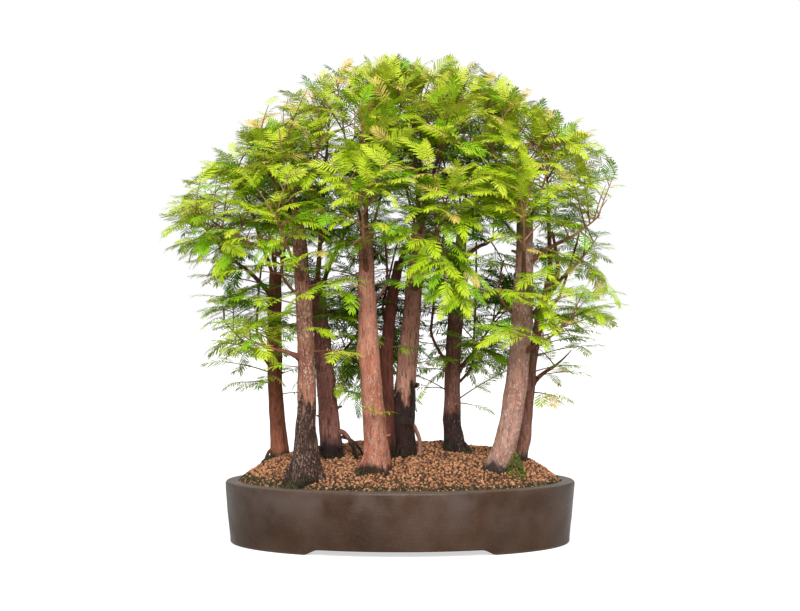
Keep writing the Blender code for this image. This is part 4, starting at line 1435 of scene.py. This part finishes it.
class OpenSpace(Space):
    """The space round the bare trunks, where a sprig only has to stay clear of the limbs."""

    def holds(self, index, points):
        """Whether all the points are clear of the limbs."""
        away = np.linalg.norm(np.array(points)[:, None] - self.limbs[None], axis=2) - self.radii
        return bool((away > LIMB_CLEARANCE / 2).all())


open_space = OpenSpace()
for name, *rows in SPRIGS:
    stem = STEMS[name]
    for level, azimuth, length, rise in rows:
        start = stem_line(stem, level - foot_height(stem))
        girth = stem_radius(stem, level - foot_height(stem))
        end = start + outward(azimuth) * (girth + length) + rise * UP
        growth = Growth(open_space, 0)
        growth.draw = random.Random(f"{name} {level}")
        growth.longest = SPRIG_SPRAY
        growth.lit = SPRIG_PAINTED_LIGHT
        line = bend(start, start.lerp(end, 0.5) + 0.1 * length * UP, end, 6)
        growth.twigs.append((line, 1.3 * TWIG_THICKNESS, TWIG_TIP, 5))
        growth.clothe(line[2:], 2)
        growths.append(growth)


# The twigs: this year's and last year's wood inside the foliage, tan where it is young and reddish brown
# where it is older. The twigs of all masses and sprigs are one piece.
def make_twigs(finish):
    """All the twigs of the foliage as one piece."""
    vertices = []
    faces = []
    for growth in growths:
        for line, thick, thin, sides in growth.twigs:
            points, quads = limb(line, taper(thick, thin, len(line)), sides, first=len(vertices))
            vertices += points
            faces += quads
    return new_piece("twigs", vertices, faces, finish)


def twig_material():
    """Thin young bark, tan to reddish brown."""
    made, tree, shader = finish_material("twigs", 0.7, 0.3)
    tone = ramp(tree, cloud(tree, object_place(tree), 40.0, 3.0), 0.35, 0.65)
    colour = mix_colours(tree, tone, (0.17, 0.062, 0.032), (0.36, 0.18, 0.08))
    tree.links.new(colour, shader.inputs["Base Color"])
    return made


twigs = make_twigs(twig_material())
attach(twigs, "root")


# The needles: soft flat strips with a blunt point, in opposite pairs that fan out at the tip, here and there
# pale orange at the youngest tips. Their tints are painted light and shade: deep green inside the crown and
# low down, yellow green where the light falls.
# From deep to pale these tints are painted shade and painted light; grass and young are the needles' own
# colours.
NEEDLE_TINTS = {
    "deep": (0.016, 0.046, 0.002),
    "leaf": (0.068, 0.188, 0.004),
    "grass": (0.215, 0.440, 0.008),
    "fresh": (0.285, 0.480, 0.010),
    "bright": (0.410, 0.570, 0.014),
    "spring": (0.470, 0.592, 0.024),
    "lime": (0.515, 0.605, 0.040),
    "pale": (0.575, 0.600, 0.130),
    "young": (0.620, 0.470, 0.110),
}
TINTS_BY_PAINTED_LIGHT = ("deep", "leaf", "fresh", "bright", "spring", "lime", "pale")
PAINTED_LIGHT_EDGES = (0.24, 0.40, 0.56, 0.72, 0.90, 1.28)
YOUNG_CHANCE = 0.07
YOUNG_LONGEST = 0.042
GRASS_CHANCE = 0.12
RIB_STEPS = 5
RIB_WIDTH = 0.0005


def spray_mesh(name, long, draw):
    """A spray along +X, flat in XY, with its own bend and its own slight disorder."""
    droop = draw.uniform(0.08, 0.42)
    swing = draw.uniform(-0.12, 0.12)

    def rib(t):
        return long * Vector((t * (1 - 0.2 * droop * t), swing * t * t, -droop * t * t))

    vertices = []
    faces = []
    pairs = round(long / NEEDLE_SPACING)
    for pair in range(pairs):
        t = 0.05 + 0.93 * (pair / (pairs - 1)) ** 0.92
        base = rib(t)
        ahead = (rib(t + 0.02) - base).normalized()
        beside = Vector((-ahead.y, ahead.x, 0)).normalized()
        over = ahead.cross(beside)
        envelope = min(1.0, 0.55 + 2.8 * t) * (1 - 0.42 * max(0, (t - 0.5) / 0.5) ** 1.5)
        angle = math.radians(62 - 42 * t**1.8)
        for sign in (-1, 1):
            length = NEEDLE_LENGTH * envelope * draw.uniform(0.88, 1.08)
            lean = angle + draw.uniform(-0.10, 0.10)
            rise = draw.uniform(-0.10, 0.22) * over
            way = (math.cos(lean) * ahead + sign * math.sin(lean) * beside + rise).normalized()
            wide = over.cross(way).normalized() * NEEDLE_WIDTH / 2
            fall = -over * 0.22 * length
            first = len(vertices)
            vertices += [
                base,
                base + way * 0.24 * length + wide,
                base + way * 0.24 * length - wide,
                base + way * 0.78 * length + 0.85 * wide + 0.5 * fall,
                base + way * 0.78 * length - 0.85 * wide + 0.5 * fall,
                base + way * length + fall,
            ]
            strip = [(0, 2, 1), (1, 2, 4), (1, 4, 3), (3, 4, 5)]
            faces += [tuple(first + corner for corner in face) for face in strip]
    first = len(vertices)
    for i in range(RIB_STEPS + 1):
        wide = RIB_WIDTH * (1 - 0.5 * i / RIB_STEPS)
        for y, z in ((-wide, 0), (0, wide), (wide, 0)):
            vertices.append(rib(i / RIB_STEPS) + Vector((0, y, z)))
    for i in range(RIB_STEPS):
        a = first + 3 * i
        faces += [(a, a + 3, a + 4, a + 1), (a + 1, a + 4, a + 5, a + 2), (a + 2, a + 5, a + 3, a)]
    mesh = bpy.data.meshes.new(name)
    mesh.from_pydata([tuple(v) for v in vertices], [], faces)
    return mesh


def make_spray_kinds():
    """The sprays of every length, in a collection in which their order is that of their names."""
    kinds = bpy.data.collections.new("spray kinds")
    for number, long in enumerate(SPRAY_SIZES):
        for variant in range(SPRAY_VARIANTS):
            name = f"spray {number} {variant}"
            kinds.objects.link(bpy.data.objects.new(name, spray_mesh(name, long, random.Random(name))))
    return kinds


def spray_tree():
    """Puts a spray on each point, turned, sized and chosen by the point's own values."""
    tree, given, out = geometry_tree("sprays on twigs", {})
    values = {"Points": given["Geometry"]}
    for socket, name, kind in (
        ("Rotation", "turn", "FLOAT_VECTOR"),
        ("Scale", "size", "FLOAT"),
        ("Instance Index", "kind", "INT"),
    ):
        read = wire(tree, "GeometryNodeInputNamedAttribute", {"Name": name}, data_type=kind)
        values[socket] = read.outputs[0]
    put_kinds(tree, given, out, values)
    return tree


def needle_material(name, colour):
    """Soft leaf skin in one plain tint."""
    made, _, shader = finish_material("needles " + name, 0.6, 0.12)
    shader.inputs["Base Color"].default_value = (*colour, 1)
    return made


def tint_of(spray, draw):
    """The tint that a spray gets, as painted light and shade: brighter high up and far out, with some chance.
    """
    middle = spray.start + 0.6 * spray.length * spray.direction
    # Painted light and shade: lighter far out and high up, lifted a little on the lowest sprays and on the
    # sprigs, darker deep in the crown.
    over = (middle.z - CROWN_WAIST) / 0.27
    out = math.hypot(middle.x / (CROWN_LENGTH / 2), middle.y / (CROWN_DEPTH / 2), over)
    high = (middle.z - 0.20) / 0.48
    low = 0.18 * min(1, max(0, (0.38 - middle.z) / 0.06))
    light = 1.00 * out + 0.84 * high - 0.55 + low + spray.lit + draw.uniform(-0.20, 0.20)
    chance = draw.random()
    if chance < YOUNG_CHANCE and out > 0.6 and spray.length < YOUNG_LONGEST:
        return "young"
    if chance > 1 - GRASS_CHANCE:
        return "grass"
    return TINTS_BY_PAINTED_LIGHT[sum(light > edge for edge in PAINTED_LIGHT_EDGES)]


def kind_of(spray, draw):
    """The number of a kind whose length is nearest to the spray's."""
    sizes = [abs(size - spray.length) for size in SPRAY_SIZES]
    return sizes.index(min(sizes)) * SPRAY_VARIANTS + draw.randrange(SPRAY_VARIANTS)


spray_kinds = make_spray_kinds()
on_twigs = spray_tree()
by_tint = {name: [] for name in NEEDLE_TINTS}
tint_draw = random.Random("tints")
for growth in growths:
    for spray in growth.sprays:
        by_tint[tint_of(spray, tint_draw)].append(spray)
for name, sprays in by_tint.items():
    draw = random.Random(name)
    turns = []
    kinds = [kind_of(spray, draw) for spray in sprays]
    sizes = [spray.length / SPRAY_SIZES[kind // SPRAY_VARIANTS] for spray, kind in zip(sprays, kinds)]
    for spray in sprays:
        beside = spray.flat.cross(spray.direction).normalized()
        over = spray.direction.cross(beside).normalized()
        turn = Matrix((spray.direction, beside, over)).transposed().to_euler()
        turns += list(turn)
    finish = needle_material(name, NEEDLE_TINTS[name])
    piece = new_piece("needles_" + name, [spray.start for spray in sprays], [], finish)
    points = piece.data
    points.attributes.new("turn", "FLOAT_VECTOR", "POINT").data.foreach_set("vector", turns)
    points.attributes.new("size", "FLOAT", "POINT").data.foreach_set("value", sizes)
    points.attributes.new("kind", "INT", "POINT").data.foreach_set("value", kinds)
    run_tree(piece, on_twigs, {"Kinds": spray_kinds, "Finish": piece.data.materials[0]})
    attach(piece, "root")

for mass in MASSES:
    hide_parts("foliage_" + mass.place)


# The studio: a pale floor that runs out of sight, soft light from all round and a broad lamp over the
# front. The camera stands level in front of the pot, at the photo's distance and focal length.
CAMERA_DISTANCE = 2.5
CAMERA_HEIGHT = 0.3368
FOCAL_PIXELS = 1744.6
IMAGE_WIDTH = 800
SENSOR_WIDTH = 36.0
FLOOR_REACH = 40
FLOOR_GLOW = 0.62
SKY_LIGHT = 0.46
KEY_LIGHT = 3.9
KEY_WIDTH = 34
KEY_FROM = Vector((0.02, -0.95, 0.68))


def make_floor():
    """The floor, which shows white to the camera and still takes soft shadows."""
    made, tree, shader = finish_material("pale floor", 0.9, 0.1)
    shader.inputs["Base Color"].default_value = (0.60, 0.60, 0.60, 1)
    seen = wire(tree, "ShaderNodeLightPath").outputs["Is Camera Ray"]
    tree.links.new(seen, shader.inputs["Emission Color"])
    shader.inputs["Emission Strength"].default_value = FLOOR_GLOW
    mesh = bpy.data.meshes.new("floor")
    corners = [(x * FLOOR_REACH, y * FLOOR_REACH, 0) for x, y in ((-1, -1), (1, -1), (1, 1), (-1, 1))]
    mesh.from_pydata(corners, [], [(0, 1, 2, 3)])
    mesh.materials.append(made)
    floor = bpy.data.objects.new("floor", mesh)
    bpy.context.scene.collection.objects.link(floor)
    return floor


make_floor()


def make_studio_light():
    """A white background, an even dimmer light from all round, and a broad soft key light from the front."""
    world = bpy.data.worlds.new("studio")
    world.use_nodes = True
    tree = world.node_tree
    seen = wire(tree, "ShaderNodeLightPath").outputs["Is Camera Ray"]
    strength = wire(tree, "ShaderNodeMapRange", {0: seen, 3: SKY_LIGHT, 4: 1.0})
    background = tree.nodes["Background"]
    background.inputs["Color"].default_value = (1, 1, 1, 1)
    tree.links.new(strength.outputs[0], background.inputs["Strength"])
    bpy.context.scene.world = world
    key = bpy.data.lights.new("key", "SUN")
    key.energy = KEY_LIGHT
    key.angle = math.radians(KEY_WIDTH)
    lamp = bpy.data.objects.new("key", key)
    lamp.rotation_euler = KEY_FROM.to_track_quat("Z", "Y").to_euler()
    bpy.context.scene.collection.objects.link(lamp)


make_studio_light()
bpy.context.scene.view_settings.view_transform = "Standard"

camera = bpy.data.cameras.new("camera")
camera.sensor_width = SENSOR_WIDTH
camera.lens = SENSOR_WIDTH * FOCAL_PIXELS / IMAGE_WIDTH
viewer = bpy.data.objects.new("camera", camera)
viewer.location = (POT_MIDDLE.x, POT_MIDDLE.y - CAMERA_DISTANCE, CAMERA_HEIGHT)
viewer.rotation_euler = (math.radians(90), 0, 0)
bpy.context.scene.collection.objects.link(viewer)
bpy.context.scene.camera = viewer
